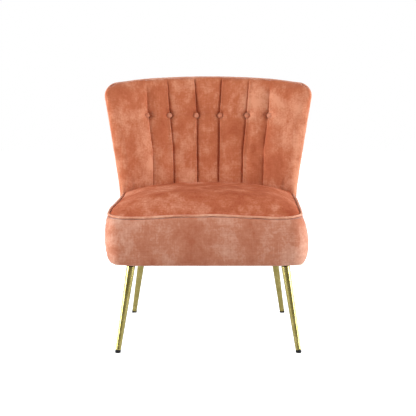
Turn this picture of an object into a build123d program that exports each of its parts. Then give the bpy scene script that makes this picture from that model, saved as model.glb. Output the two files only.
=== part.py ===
from build123d import *
import math
import os

# An armless upholstered chair: a tight padded seat box, a bent wrap-round back with six
# covered buttons, and four splayed tapered metal legs.
# Millimetres. The front faces -Y, +X is the sitter's left, +Z is up, and the origin is on
# the floor under the middle of the chair. "left" and "right" in names are the sitter's.

os.makedirs("parts", exist_ok=True)

# Overall sizes
overall_width = 652.0
overall_depth = 612.0
overall_height = 778.0

# Seat box
seat_box_width = 560.0
underside_height = 247.0
crown_height = 438.0
welt_height_front = 386.0
welt_rise = 0.045
seat_corner_radius = 47.0
crown_roll = 42.0
box_roll_top = 14.0
box_roll_bottom = 9.0

# Cloth, padding and sheet thicknesses
cover_thickness = 2.0
border_padding_thickness = 18.0
back_foam_thickness = 24.0
lining_thickness = 2.0
felt_thickness = 3.0
dust_cover_thickness = 1.2
seat_welt_diameter = 6.0
back_welt_width = 5.0
back_welt_proud = 2.0
soft_gap = 0.4
fit_gap = 0.15
layer_gap = 0.2

# Timber
rail_thickness = 20.0
rail_height = 70.0
corner_block_reach = 115.0
corner_block_height = 46.0
shell_thickness = 9.0
shell_inset = 6.0
rib_thickness = 24.0
rib_spacing = 220.0
stile_width = 26.0
stile_start = 195.0
top_batten_height = 24.0

# Back form: a concave front face and rear face, each a cylinder leaning back
front_face_radius = 540.0
rear_face_radius = 560.0
seat_depth = 489.0
front_face_level = 430.0
front_lean = 0.21
rear_lean = 0.079
back_width_at_seat = 548.0
flare_level = 412.0
back_corner_radius = 40.0
back_top_crown_radius = 2300.0
back_opening_level = 402.0
tongue_width = 452.0
tongue_level = 345.0
tongue_overlap = 20.0
foam_overlap = 5.0

# Buttons along the back, measured across from the middle
button_height = 653.0
button_offsets = [-194.0, -124.0, -38.5, 38.5, 124.0, 194.0]
button_diameter = 17.0
button_thickness = 3.0
button_dome = 3.5
dimple_diameter = 27.0
dimple_depth = 9.0
twine_diameter = 2.0
anchor_diameter = 16.0
anchor_thickness = 2.0
knot_diameter = 5.0
twine_clearance = 1.4

# Springs
spring_offsets = [-165.0, -55.0, 55.0, 165.0]
spring_wire = 4.0
spring_loop_width = 44.0
spring_loop_pitch = 28.0
spring_bend = 0.47
spring_front_shift = 1.0
spring_rear_shift = 3.0
clip_width = 16.0
clip_length = 15.0
clip_sheet = 2.0
nail_diameter = 2.5
nail_length = 18.0
nail_head_diameter = 6.0
nail_head_thickness = 1.0
nail_edge_gap = 0.5
nail_end_gap = 0.2

# Legs
front_foot = (251.0, -265.0)
rear_foot = (246.0, 245.0)
front_leg_top = (214.0, -229.0)
rear_leg_top = (206.0, 160.0)
leg_top_diameter = 24.0
leg_bottom_diameter = 15.0
leg_wall = 1.2
leg_top_level = 244.0
glide_diameter = 16.0
glide_height = 8.0
glide_plug_length = 14.0
plate_diameter = 50.0
plate_thickness = 3.0
plate_boss_diameter = 22.0
plate_screw_circle = 36.0
plate_screw_diameter = 4.0
plate_screw_head = 8.0
plate_screw_head_thickness = 2.2
plate_screw_length = 18.0
plate_screw_gap = 0.6
plate_screw_end_gap = 0.4
stud_diameter = 8.0
stud_length = 30.0
stud_plug_length = 20.0
stud_bore_gap = 4.0
leg_hole_clearance = 10.0
dust_cover_inset = 4.0

# Bolts that hold the back ribs to the rear rail
bolt_diameter = 8.0
bolt_head_diameter = 13.0
bolt_head_thickness = 5.0
bolt_length = 48.0
washer_diameter = 18.0
washer_thickness = 1.6
barrel_nut_diameter = 12.0
barrel_nut_length = 18.0
bolt_levels = [17.0, 51.0]
bolt_recess = 1.0
bolt_bore_gap = 2.0

# Staples under the seat
staple_crown = 10.0
staple_wire = 0.9
staple_leg = 6.0
staple_pitch = 88.0
staple_run_rear = 100.0

# Levels and faces that follow from the sizes above
front_y = -overall_depth / 2
rear_y = overall_depth / 2
border_depth = cover_thickness + border_padding_thickness
core_half = seat_box_width / 2 - border_depth
core_front = front_y + border_depth
core_corner = seat_corner_radius - border_depth
rail_bottom = underside_height + dust_cover_thickness
cover_floor = underside_height + cover_thickness
rail_top = rail_bottom + rail_height
inner_half = core_half - rail_thickness
inner_front = core_front + rail_thickness
front_face_y = front_y + seat_depth
pad_depth = cover_thickness + back_foam_thickness
shell_rear = pad_depth + shell_thickness
welt_rear = pad_depth + back_welt_width
lining_front = cover_thickness + lining_thickness
rear_face_bottom_y = rear_y - (overall_height - rail_bottom) * rear_lean
rail_rear_radius = rear_face_radius - lining_front
rail_rear_y = rear_face_bottom_y - lining_front - soft_gap
reach = 430.0
reach_ahead = 950.0
reach_up = 900.0
cut_over = 30.0


def save(name, solids):
    # one file per piece; a list becomes a group of separate solids
    shape = Compound(children=list(solids)) if isinstance(solids, list) else solids
    shape.label = name
    export_step(shape, f"parts/{name}.step")


def box_between(low, high):
    size = [b - a for a, b in zip(low, high)]
    middle = [(a + b) / 2 for a, b in zip(low, high)]
    return Pos(*middle) * Box(*size)


def arc_depth(radius, x):
    # how far an arc of this radius has come forward at x
    return radius - math.sqrt(radius**2 - x**2)


def ahead_of(radius, face_y, level, lean, shift):
    # everything in front of a concave cylindrical face that stands at face_y on the centre
    # line at this level, leans back by lean for each unit of height, and is moved back by shift
    plane = Plane(origin=(0, face_y, level), x_dir=(1, 0, 0), z_dir=(0, lean, 1))
    side_y = shift - arc_depth(radius + shift, reach)
    arc = ThreePointArc((-reach, side_y), (0, shift), (reach, side_y))
    far_corners = ((reach, -reach_ahead), (-reach, -reach_ahead))
    sides = Polyline((reach, side_y), *far_corners, (-reach, side_y))
    return extrude(plane * make_face(arc + sides), amount=reach_up, both=True)


def ahead_of_front_face(sunk):
    # in front of the back's front face, moved back by sunk
    return ahead_of(front_face_radius, front_face_y, front_face_level, front_lean, sunk)


def ahead_of_rear_face(sunk):
    # in front of the back's rear face, moved forward by sunk
    return ahead_of(rear_face_radius, rear_y, overall_height, rear_lean, -sunk)


def front_face_at(x, z):
    # how far back the front face stands at a point seen from the front
    leaning = math.hypot(1, front_lean)
    lift = (z - front_face_level) * front_lean
    return front_face_y + lift - arc_depth(front_face_radius, x) * leaning


def back_outline(inset, bottom):
    # the back seen from the front, pulled in by inset and cut off level at bottom
    half = overall_width / 2 - back_welt_proud
    top_z = overall_height - back_welt_proud
    corner_z = top_z - arc_depth(back_top_crown_radius, half)
    shoulder_z = corner_z - back_corner_radius
    flare = (half - back_width_at_seat / 2) / (shoulder_z - flare_level)
    corner_x = half + flare * back_corner_radius - inset
    corner_z -= inset
    low_x = back_width_at_seat / 2 - inset
    points = [
        (corner_x, corner_z),
        (low_x, flare_level),
        (low_x, bottom),
        (-low_x, bottom),
        (-low_x, flare_level),
        (-corner_x, corner_z),
    ]
    top = ThreePointArc((-corner_x, corner_z), (0, top_z - inset), (corner_x, corner_z))
    outline = Plane.XZ * make_face(top + Polyline(*points))
    prism = extrude(outline, amount=overall_depth, both=True)
    upper_edges = prism.edges().filter_by(Axis.Y).sort_by(Axis.Z)[-2:]
    return fillet(upper_edges, back_corner_radius - inset / 2)


def tongue(inset, bottom):
    # the narrower lower part of the back's padding, which goes down behind the seat cushion
    half = tongue_width / 2 - inset
    low = (-half, -overall_depth, bottom + inset)
    high = (half, overall_depth, flare_level + tongue_overlap)
    return box_between(low, high)


def back_zone(front, rear, inset, bottom):
    # the back's outline between its front face sunk by front and its rear face sunk by rear
    zone = back_outline(inset, bottom) & ahead_of_rear_face(rear)
    return zone - ahead_of_front_face(front)


def pad_zone(front, rear, inset):
    # a layer of the back's padding, between two depths behind the front face
    outline = back_outline(inset, back_opening_level + inset) + tongue(inset, tongue_level)
    return (outline & ahead_of_front_face(rear)) - ahead_of_front_face(front)


def seat_plan(half, front, corner, bottom, top):
    # the seat box seen from above: straight sides, rounded front corners, open to the rear
    block = box_between((-half, front, bottom), (half, overall_depth, top))
    corners = block.edges().filter_by(Axis.Z).sort_by(Axis.Y)[:2]
    return fillet(corners, corner)


def welt_level(y):
    # the seam at the top of the seat box rises a little from front to rear
    return welt_height_front + (y - front_y) * welt_rise


def below_welt(block, drop):
    # cuts a block along the rising seam, drop below it
    plane = Plane(
        origin=(0, front_y, welt_height_front - drop),
        x_dir=(1, 0, 0),
        z_dir=(0, -welt_rise, 1),
    )
    return split(block, bisect_by=plane, keep=Keep.BOTTOM)


def above_welt(block, lift):
    plane = Plane(
        origin=(0, front_y, welt_height_front + lift),
        x_dir=(1, 0, 0),
        z_dir=(0, -welt_rise, 1),
    )
    return split(block, bisect_by=plane, keep=Keep.TOP)


def dome(inset, bottom):
    # the crowned top of the seat, with a wide rolled edge
    block = seat_plan(
        core_half - inset,
        core_front + inset,
        core_corner + crown_roll / 2,
        bottom,
        crown_height - inset,
    )
    top_edges = block.faces().sort_by(Axis.Z)[-1].edges()
    rolled = [e for e in top_edges if e.center().Y < overall_depth - 1]
    block = fillet(rolled, crown_roll - inset)
    return block & ahead_of_front_face(-soft_gap)


def border(inset):
    # the outside of the padded seat box, from its underside up to the welt seam
    block = seat_plan(
        seat_box_width / 2 - inset,
        front_y + inset,
        seat_corner_radius - inset,
        underside_height + inset,
        crown_height,
    )
    block = below_welt(block, 0)
    # the edges along the seam lie high up, and all but the cut at the open rear are rolled
    half_way = (underside_height + welt_height_front) / 2
    upper = []
    for edge in block.edges():
        box = edge.bounding_box()
        if box.min.Z > half_way and box.min.Y < overall_depth - 1:
            upper.append(edge)
    block = fillet(upper, box_roll_top - inset / 2)
    lower = block.faces().sort_by(Axis.Z)[0].edges()
    lower = [e for e in lower if e.center().Y < overall_depth - 1]
    block = fillet(lower, box_roll_bottom - inset / 2)
    return block


def rear_rail_face(sunk):
    # in front of the rear rail's upright outer face, moved forward by sunk
    return ahead_of(rail_rear_radius, rail_rear_y, overall_height, 0, -sunk)


def leg_plane(foot, top, side):
    # an axis from the middle of the foot on the floor up along the leg
    start = Vector(side * foot[0], foot[1], 0)
    end = Vector(side * top[0], top[1], leg_top_level)
    return Plane(origin=start, z_dir=(end - start).normalized())


def leg_length(foot, top):
    return math.dist((*foot, 0), (*top, leg_top_level))


def along(plane, start, end, start_diameter, end_diameter=None):
    # a round bar or cone on the plane's axis between two distances
    end_diameter = start_diameter if end_diameter is None else end_diameter
    length = end - start
    if abs(start_diameter - end_diameter) < 1e-6:
        bar = Cylinder(start_diameter / 2, length)
    else:
        bar = Cone(start_diameter / 2, end_diameter / 2, length)
    return plane * (Pos(0, 0, start + length / 2) * bar)


legs = {
    "front_left": (front_foot, front_leg_top, 1, -1),
    "front_right": (front_foot, front_leg_top, -1, -1),
    "rear_left": (rear_foot, rear_leg_top, 1, 1),
    "rear_right": (rear_foot, rear_leg_top, -1, 1),
}
block_bottom = rail_bottom + plate_thickness + plate_screw_head_thickness + plate_screw_gap
plate_bottom = block_bottom - plate_thickness


def screw_points(top, side, end):
    # three screws round the leg plate, the first towards the outer corner
    first = math.atan2(end, side)
    for turn in range(3):
        angle = first + turn * 2 * math.pi / 3
        yield (
            side * top[0] + plate_screw_circle / 2 * math.cos(angle),
            top[1] + plate_screw_circle / 2 * math.sin(angle),
        )


def staple_places():
    # staples on the middle of the front and side rails, and round the curved rear rail
    places = []
    middle = rail_thickness / 2
    count = round(2 * inner_half / staple_pitch)
    step = 2 * inner_half / count
    for i in range(count):
        x = -inner_half + (i + 0.5) * step
        places.append((x, core_front + middle, 0))
        radius = rail_rear_radius - middle
        rear_y_here = rail_rear_y - middle - arc_depth(radius, x)
        places.append((x, rear_y_here, -math.degrees(math.asin(x / radius))))
    side_length = -inner_front + staple_run_rear
    count = round(side_length / staple_pitch)
    for i in range(count):
        y = inner_front + (i + 0.5) * side_length / count
        places.append((core_half - middle, y, 90))
        places.append((middle - core_half, y, 90))
    return places


# Staples and the holes they make
staples = []
staple_holes = []
for x, y, turn in staple_places():
    place = Pos(x, y, underside_height) * Rot(0, 0, turn)
    crown = Pos(0, 0, -staple_wire / 2) * Box(staple_crown, staple_wire, staple_wire)
    prongs = []
    for end in (-1, 1):
        prong_x = end * (staple_crown - staple_wire) / 2
        prongs.append(Pos(prong_x, 0, staple_leg / 2) * Box(staple_wire, staple_wire, staple_leg))
    staples.append(place * (crown + prongs[0] + prongs[1]))
    staple_holes += [place * prong for prong in prongs]

# Spring ends, clips and nails on the front and rear rails
wire_z = rail_top + clip_sheet + spring_wire / 2 + fit_gap
clip_top = wire_z + spring_wire / 2 + fit_gap + clip_sheet
clips = []
nails = []
nail_holes = []
spring_ends = []
for x in spring_offsets:
    front_end = core_front + rail_thickness / 2 + spring_front_shift
    rear_middle = rail_rear_radius - rail_thickness / 2
    rear_end = rail_rear_y - rail_thickness / 2 - spring_rear_shift
    rear_end -= arc_depth(rear_middle, abs(x) + clip_width / 2)
    spring_ends.append((x, front_end, rear_end))
    for y, facing in ((front_end, 1), (rear_end, -1)):
        outer = Box(clip_width, clip_length, clip_top - rail_top)
        slot = Box(clip_width + 1, clip_length, spring_wire + 2 * fit_gap)
        slot_shift = clip_length / 2 - spring_wire / 2 - fit_gap
        clip = outer - Pos(0, facing * slot_shift, 0) * slot
        clip = Pos(x, y, (rail_top + clip_top) / 2) * clip
        nail_x = x + clip_width / 2 - nail_head_diameter / 2 - nail_edge_gap
        nail_y = y - facing * (clip_length / 2 - nail_head_diameter / 2 + nail_end_gap)
        shank = Pos(nail_x, nail_y, clip_top - nail_length / 2)
        shank = shank * Cylinder(nail_diameter / 2, nail_length)
        head = Pos(nail_x, nail_y, clip_top - nail_head_thickness / 2)
        head = head * Cylinder(nail_head_diameter / 2, nail_head_thickness)
        clips.append(clip - shank - head)
        nails.append(shank + head)
        nail_holes.append(shank)
save("spring_clips", clips)
save("spring_clip_nails", nails)

# Serpentine springs, wire loops lying level from the front rail to the rear rail
for number, (x, front_end, rear_end) in enumerate(spring_ends, 1):
    rows = max(4, round((rear_end - front_end) / spring_loop_pitch))
    pitch = (rear_end - front_end) / rows
    points = []
    for row in range(rows + 1):
        y = front_end + row * pitch
        side = spring_loop_width / 2 if row % 2 == 0 else -spring_loop_width / 2
        points += [(x - side, y, wire_z), (x + side, y, wire_z)]
    path = FilletPolyline(*points, radius=pitch * spring_bend)
    start = Plane(origin=points[0], z_dir=(points[1][0] - points[0][0], 0, 0))
    save(f"seat_spring_{number}", sweep(start * Circle(spring_wire / 2), path=path))

# Seat frame
core_plan = seat_plan(core_half, core_front, core_corner, rail_bottom, rail_top)
core_plan &= rear_rail_face(0)
inner_plan = box_between((-inner_half, inner_front, 0), (inner_half, overall_depth, overall_height))
inner_plan &= rear_rail_face(rail_thickness)
frame_ring = core_plan - inner_plan

rib_half = rib_thickness / 2
rib_centres = [-rib_spacing / 2, rib_spacing / 2]
bolts = []
washers = []
barrel_nuts = []
bolt_cuts = []
rib_cuts = []
for x in rib_centres:
    face_y = rail_rear_y - arc_depth(rail_rear_radius, abs(x) + washer_diameter / 2)
    seat_y = face_y - bolt_head_thickness - washer_thickness - bolt_recess
    for level in bolt_levels:
        axis = Plane(origin=(x, seat_y, rail_bottom + level), z_dir=(0, -1, 0))
        washer = along(axis, -washer_thickness, 0, washer_diameter)
        hole = along(axis, -washer_thickness - 1, bolt_length, bolt_diameter + 2 * fit_gap)
        head_end = -washer_thickness - bolt_head_thickness
        head = along(axis, head_end, -washer_thickness, bolt_head_diameter)
        shank = along(axis, -washer_thickness, bolt_length - washer_thickness, bolt_diameter)
        nut_centre = axis.from_local_coords((0, 0, bolt_length - barrel_nut_diameter))
        nut_axis = Plane(origin=nut_centre, z_dir=(1, 0, 0))
        nut = along(nut_axis, -barrel_nut_length / 2, barrel_nut_length / 2, barrel_nut_diameter)
        pocket = along(nut_axis, -rib_half - 1, rib_half + 1, barrel_nut_diameter + 2 * fit_gap)
        counterbore = along(axis, -cut_over, 0, washer_diameter + 2 * fit_gap)
        bolts.append(head + shank)
        washers.append(washer - hole)
        barrel_nuts.append(nut - shank)
        bolt_cuts += [hole, counterbore]
        rib_hole = along(axis, 0, bolt_length + bolt_bore_gap, bolt_diameter + 2 * fit_gap)
        rib_cuts += [rib_hole, pocket]
save("back_bolts", bolts)
save("back_bolt_washers", washers)
save("barrel_nuts", barrel_nuts)


def cut_all(solid, tools):
    for tool in tools:
        solid -= tool
    return solid


def touching(tools, low, high):
    # the tools whose middle lies in the box from low to high
    kept = []
    for tool in tools:
        c = tool.center()
        if all(a <= v <= b for a, v, b in zip(low, (c.X, c.Y, c.Z), high)):
            kept.append(tool)
    return kept


far = overall_width
rail_boxes = {
    "seat_front_rail": ((-far, -far, 0), (far, inner_front, far)),
    "seat_left_rail": ((inner_half, inner_front, 0), (far, far, far)),
    "seat_right_rail": ((-far, inner_front, 0), (-inner_half, far, far)),
    "seat_rear_rail": ((-inner_half, 0, 0), (inner_half, far, far)),
}
for name, (low, high) in rail_boxes.items():
    rail = frame_ring & box_between(low, high)
    rail = cut_all(rail, touching(staple_holes + nail_holes + bolt_cuts, low, high))
    save(name, rail)

# Ribs run down in front of the rear rail and up behind the back shell
rear_rail_space = rear_rail_face(-cut_over) - rear_rail_face(rail_thickness)
rear_rail_space &= box_between((-far, 0, 0), (far, far, rail_top))
back_space = back_zone(shell_rear, lining_front, shell_inset, rail_bottom)
batten_top = overall_height - arc_depth(back_top_crown_radius, core_half) - 2 * shell_inset
batten_bottom = batten_top - top_batten_height
ribs = []
for side, x in zip(("right", "left"), rib_centres):
    slab = box_between((x - rib_half, 0, rail_bottom), (x + rib_half, far, batten_bottom))
    near = touching(rib_cuts, (x - rib_thickness, 0, 0), (x + rib_thickness, far, far))
    ribs.append(cut_all((back_space & slab) - rear_rail_space, near))

# Corner blocks, leg plates, legs and their fixings
plate_screws = []
studs = []
dust_cover_holes = []
for name, (foot, top, side, end) in legs.items():
    axis = leg_plane(foot, top, side)
    length = leg_length(foot, top)
    corner_y = inner_front
    if end > 0:
        # the rear rail is curved, so its block sits just ahead of the curve
        inner_radius = rail_rear_radius - rail_thickness
        corner_y = rail_rear_y - rail_thickness - 2 * fit_gap
        corner_y -= arc_depth(inner_radius, inner_half / 2)
    corner = (side * inner_half, corner_y)
    triangle = make_face(
        Polyline(
            corner,
            (corner[0] - side * corner_block_reach, corner[1]),
            (corner[0], corner[1] - end * corner_block_reach),
            corner,
        )
    )
    block = Pos(0, 0, block_bottom) * extrude(triangle, corner_block_height, dir=(0, 0, 1))
    block &= inner_plan
    for rib in ribs:
        block -= rib
    boss = along(axis, length, length + cut_over, plate_boss_diameter)
    boss = split(boss, bisect_by=Plane.XY.offset(plate_bottom), keep=Keep.BOTTOM)
    disc = Pos(side * top[0], top[1], plate_bottom + plate_thickness / 2)
    plate = disc * Cylinder(plate_diameter / 2, plate_thickness) + boss
    stud_shank = along(axis, length - 1, length + stud_length, stud_diameter)
    plate -= along(axis, length - 1, length + cut_over, stud_diameter + 2 * fit_gap)
    block -= along(axis, length - 1, length + stud_length + stud_bore_gap, stud_diameter + 1)
    for x, y in screw_points(top, side, end):
        head = Pos(x, y, plate_bottom - plate_screw_head_thickness / 2)
        head = head * Cylinder(plate_screw_head / 2, plate_screw_head_thickness)
        shank = Pos(x, y, plate_bottom + plate_screw_length / 2)
        shank = shank * Cylinder(plate_screw_diameter / 2, plate_screw_length)
        plate_screws.append(head + shank)
        bore_length = plate_screw_length + plate_screw_end_gap
        clearance = Pos(x, y, plate_bottom + plate_screw_length / 2)
        clearance = clearance * Cylinder(plate_screw_diameter / 2 + fit_gap, bore_length)
        plate -= clearance
        block -= clearance
    save(f"corner_block_{name}", block)
    save(f"leg_plate_{name}", plate)

    taper = (leg_top_diameter - leg_bottom_diameter) / (length - glide_height)
    bore_bottom = leg_bottom_diameter - 2 * leg_wall
    bore_top = leg_top_diameter - 2 * leg_wall
    tube = along(axis, glide_height, length, leg_bottom_diameter, leg_top_diameter)
    tube -= along(axis, glide_height, length, bore_bottom, bore_top)
    save(f"leg_{name}", tube)

    plug_low = bore_top - taper * stud_plug_length - 2 * fit_gap
    plug = along(axis, length - stud_plug_length, length, plug_low, bore_top - 2 * fit_gap)
    studs.append(plug + stud_shank)

    glide = along(axis, -glide_height, glide_height, glide_diameter)
    plug_top = glide_height + glide_plug_length
    glide += along(axis, glide_height - 1, plug_top, bore_bottom - 2 * fit_gap)
    glide = split(glide, bisect_by=Plane.XY, keep=Keep.TOP)
    save(f"foot_glide_{name}", glide)
    hole_diameter = leg_top_diameter + leg_hole_clearance
    dust_cover_holes.append(along(axis, length - cut_over, length + cut_over, hole_diameter))
save("leg_plate_screws", plate_screws)
save("leg_studs", studs)

# Dust cover stapled under the frame
dust_cover = seat_plan(
    core_half - dust_cover_inset,
    core_front + dust_cover_inset,
    core_corner - dust_cover_inset,
    underside_height,
    underside_height + dust_cover_thickness,
)
dust_cover &= rear_rail_face(dust_cover_inset)
save("dust_cover", cut_all(dust_cover, dust_cover_holes + staple_holes))
save("dust_cover_staples", staples)

# Seat upholstery
felt_bottom = clip_top + layer_gap
felt_top = felt_bottom + felt_thickness
foam_bottom = felt_top + layer_gap
felt = seat_plan(core_half - 1, core_front + 1, core_corner, felt_bottom, felt_top)
save("spring_deck_felt", felt & ahead_of_front_face(-soft_gap))
save("seat_foam", dome(cover_thickness + fit_gap, foam_bottom))
top_cover = dome(0, welt_height_front - cut_over) - dome(cover_thickness, foam_bottom)
save("seat_top_cover", above_welt(top_cover, 0))

padding = border(cover_thickness) - seat_plan(core_half, core_front, core_corner, 0, overall_height)
border_cover = border(0) - border(cover_thickness)
border_cover -= seat_plan(core_half, core_front, core_corner, underside_height - 1, overall_height)
side_limit = ahead_of_front_face(pad_depth)
upper_limit = ahead_of_front_face(-soft_gap)
lower_part = box_between((-far, -far, 0), (far, far, back_opening_level - soft_gap))
limit = (side_limit & lower_part) + upper_limit
save("seat_border_padding", padding & limit)
save("seat_border_cover", border_cover & limit)

welt_radius = seat_welt_diameter / 2
welt_half = core_half + welt_radius + layer_gap
welt_front = core_front - welt_radius - layer_gap
welt_end = front_face_at(welt_half, welt_level(0)) - welt_radius - soft_gap
welt_lift = welt_radius + layer_gap / 2
welt_points = []
for x, y in ((-1, welt_end), (-1, welt_front), (1, welt_front), (1, welt_end)):
    welt_points.append((x * welt_half, y, welt_level(y) + welt_lift))
welt_path = FilletPolyline(*welt_points, radius=core_corner + crown_roll / 2 + welt_radius)
welt_start = Plane(origin=welt_path @ 0, z_dir=welt_path % 0)
save("seat_welt", sweep(welt_start * Circle(welt_radius), path=welt_path))


def button_plane(x):
    # on the front face at the button, facing the sitter
    run = math.sqrt(front_face_radius**2 - x**2)
    lean_angle = math.atan(front_lean)
    facing = Vector(-x, -run * math.cos(lean_angle), run * math.sin(lean_angle))
    middle = (x, front_face_at(x, button_height), button_height)
    return Plane(origin=middle, z_dir=facing.normalized())


def dimples(extra):
    # the hollow that each button pulls into the padding
    hollows = []
    for x in button_offsets:
        width = dimple_diameter + 2 * extra
        hollows.append(along(button_plane(x), -dimple_depth - extra, 12, width))
    return hollows


def twine_holes(diameter):
    holes = []
    for x in button_offsets:
        holes.append(along(button_plane(x), -shell_rear - 6, 0, diameter))
    return holes


# Back padding and covers
inner_space = pad_zone(cover_thickness, pad_depth + foam_overlap, cover_thickness)
inner_space = cut_all(inner_space, dimples(cover_thickness))
inner_cover = cut_all(pad_zone(0, pad_depth, 0), dimples(0)) - inner_space
save("back_inner_cover", cut_all(inner_cover, twine_holes(twine_diameter + twine_clearance)))

foam = pad_zone(cover_thickness + fit_gap, pad_depth, cover_thickness + fit_gap)
foam = cut_all(foam, dimples(cover_thickness + fit_gap))
save("back_foam", cut_all(foam, twine_holes(twine_diameter + twine_clearance)))

shell = pad_zone(pad_depth, shell_rear, shell_inset)
save("back_shell", cut_all(shell, twine_holes(twine_diameter + twine_clearance)))

# Timber behind the shell
for side, rib in zip(("right", "left"), ribs):
    save(f"back_rib_{side}", rib)
batten = back_space & box_between((-core_half, 0, batten_bottom), (core_half, far, batten_top))
save("back_top_batten", batten)
stile_space = back_zone(shell_rear, lining_front, cover_thickness, rail_top)
stile_core = back_outline(cover_thickness + stile_width, 0)
for side, name in ((1, "left"), (-1, "right")):
    low_x, high_x = sorted((side * stile_start, side * far))
    side_box = box_between((low_x, -far, 0), (high_x, far, batten_bottom - fit_gap))
    stile = (stile_space - stile_core) & side_box
    save(f"back_stile_{name}", stile)

lining = back_zone(shell_rear + lining_front, cover_thickness, shell_inset, cover_floor + fit_gap)
lining -= ahead_of_rear_face(lining_front)
save("back_lining_board", lining)

core_hole = seat_plan(core_half, core_front, core_corner, 0, rail_bottom + rail_height / 2)
core_hole &= rear_rail_face(0)
outer_cover = back_zone(welt_rear, 0, 0, underside_height)
outer_cover -= back_zone(0, cover_thickness, cover_thickness, cover_floor)
save("back_outer_cover", outer_cover - core_hole)

# Padding that fills out the rear corners of the seat frame under the outer cover
corner_padding = back_zone(welt_rear, lining_front, cover_thickness + fit_gap, cover_floor)
corner_padding -= seat_plan(core_half, core_front, core_corner, 0, overall_height)
corner_padding &= box_between((-far, -far, 0), (far, far, rail_top - fit_gap))
save("rear_corner_padding", list(corner_padding.solids()))

welt_ring = back_outline(-back_welt_proud, underside_height) - back_outline(cover_thickness * 2, 0)
welt_ring &= ahead_of_front_face(welt_rear)
save("back_welt", welt_ring - ahead_of_front_face(pad_depth))

# Buttons with their twine, knots and anchor discs
twines = []
anchors = []
for number, x in enumerate(button_offsets, 1):
    plane = button_plane(x)
    seat = -dimple_depth + layer_gap
    rim = along(plane, seat, seat + button_thickness, button_diameter)
    cap_radius = ((button_diameter / 2) ** 2 + button_dome**2) / (2 * button_dome)
    ball_centre = seat + button_thickness + button_dome - cap_radius
    cap = plane * (Pos(0, 0, ball_centre) * Sphere(cap_radius))
    cap_bottom = seat + button_thickness - 0.5
    cap &= along(plane, cap_bottom, cap_bottom + cut_over, button_diameter)
    save(f"back_button_{number}", rim + cap)
    anchor_seat = -shell_rear - layer_gap
    knot_centre = anchor_seat - anchor_thickness - knot_diameter / 2 + 2 * fit_gap
    twine = along(plane, knot_centre, seat - layer_gap / 2, twine_diameter)
    twines.append(twine + plane * (Pos(0, 0, knot_centre) * Sphere(knot_diameter / 2)))
    anchor = along(plane, anchor_seat - anchor_thickness, anchor_seat, anchor_diameter)
    cut = along(plane, anchor_seat - 6, anchor_seat + 1, twine_diameter + 2 * fit_gap)
    anchors.append(anchor - cut - twines[-1])
save("button_twines", twines)
save("button_anchors", anchors)
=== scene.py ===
import math
import bmesh
import bpy
import numpy as np
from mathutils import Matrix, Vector


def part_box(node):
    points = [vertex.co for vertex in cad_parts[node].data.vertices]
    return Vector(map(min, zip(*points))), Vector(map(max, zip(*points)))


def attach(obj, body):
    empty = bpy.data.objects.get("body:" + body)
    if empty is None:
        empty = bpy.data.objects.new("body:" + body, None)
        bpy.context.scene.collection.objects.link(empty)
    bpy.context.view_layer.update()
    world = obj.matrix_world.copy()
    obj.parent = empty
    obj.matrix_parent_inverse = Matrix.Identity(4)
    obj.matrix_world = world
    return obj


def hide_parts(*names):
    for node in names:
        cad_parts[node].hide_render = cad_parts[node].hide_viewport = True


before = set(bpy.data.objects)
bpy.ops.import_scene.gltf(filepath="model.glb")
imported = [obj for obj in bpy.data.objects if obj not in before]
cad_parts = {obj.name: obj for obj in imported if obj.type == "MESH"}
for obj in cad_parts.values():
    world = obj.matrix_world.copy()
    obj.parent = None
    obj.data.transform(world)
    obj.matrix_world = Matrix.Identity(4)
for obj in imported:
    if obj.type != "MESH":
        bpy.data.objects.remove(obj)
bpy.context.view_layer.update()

# Armless upholstered chair: padded seat box, pleated and buttoned wrap-round back,
# splayed tapered metal legs. Metres; the chair faces -Y and stands on z = 0.


def smoothStep(low, high, value):
    # 3t^2 - 2t^3, where t runs from 0 at low to 1 at high
    t = np.clip((value - low) / (high - low), 0.0, 1.0)
    return t * t * (3.0 - 2.0 * t)


def bell(value, width):
    # exp(-(value / width)^2)
    return np.exp(-((value / width) ** 2))


def softNoise(a, b, wavelength, seed, waves=9):
    # sum of plane waves with seeded directions, lengths and phases, over the root of their number
    rng = np.random.default_rng(seed)
    turn = rng.uniform(0, 2 * np.pi, waves)
    phase = rng.uniform(0, 2 * np.pi, waves)
    pitch = 2 * np.pi * rng.uniform(0.7, 1.5, waves) / wavelength
    along = a[..., None] * np.cos(turn) + b[..., None] * np.sin(turn)
    return np.sin(along * pitch + phase).sum(-1) / math.sqrt(waves)


def gridQuads(index):
    # quad (r, c) joins (r, c), (r, c + 1), (r + 1, c + 1) and (r + 1, c)
    corners = (index[:-1, :-1], index[:-1, 1:], index[1:, 1:], index[1:, :-1])
    return np.stack(corners, -1).reshape(-1, 4)


def meshFrom(name, blocks, closed=True, merge=2e-5):
    # joins grids of points that share their edges into one smooth mesh
    points = np.concatenate([block.reshape(-1, 3) for block in blocks])
    quads = []
    start = 0
    for block in blocks:
        count = block.shape[0] * block.shape[1]
        quads.append(gridQuads(start + np.arange(count).reshape(block.shape[:2])))
        start += count
    mesh = bpy.data.meshes.new(name)
    mesh.from_pydata(points.tolist(), [], np.concatenate(quads).tolist())
    work = bmesh.new()
    work.from_mesh(mesh)
    bmesh.ops.remove_doubles(work, verts=work.verts, dist=merge)
    bmesh.ops.dissolve_degenerate(work, edges=work.edges, dist=merge / 4)
    if closed:
        bmesh.ops.recalc_face_normals(work, faces=work.faces)
    work.to_mesh(mesh)
    work.free()
    mesh.shade_smooth()
    piece = bpy.data.objects.new(name, mesh)
    bpy.context.scene.collection.objects.link(piece)
    return piece


def finishPiece(piece, material, stoodFor=()):
    piece.data.materials.append(material)
    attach(piece, "root")
    if stoodFor:
        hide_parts(*stoodFor)
def clothOn(piece, thickness, offset):
    # thickens a one-layer sheet, and gives the layer's area
    shell = piece.modifiers.new("clothThickness", "SOLIDIFY")
    shell.thickness = thickness
    shell.offset = offset
    return sum(polygon.area for polygon in piece.data.polygons)


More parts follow.
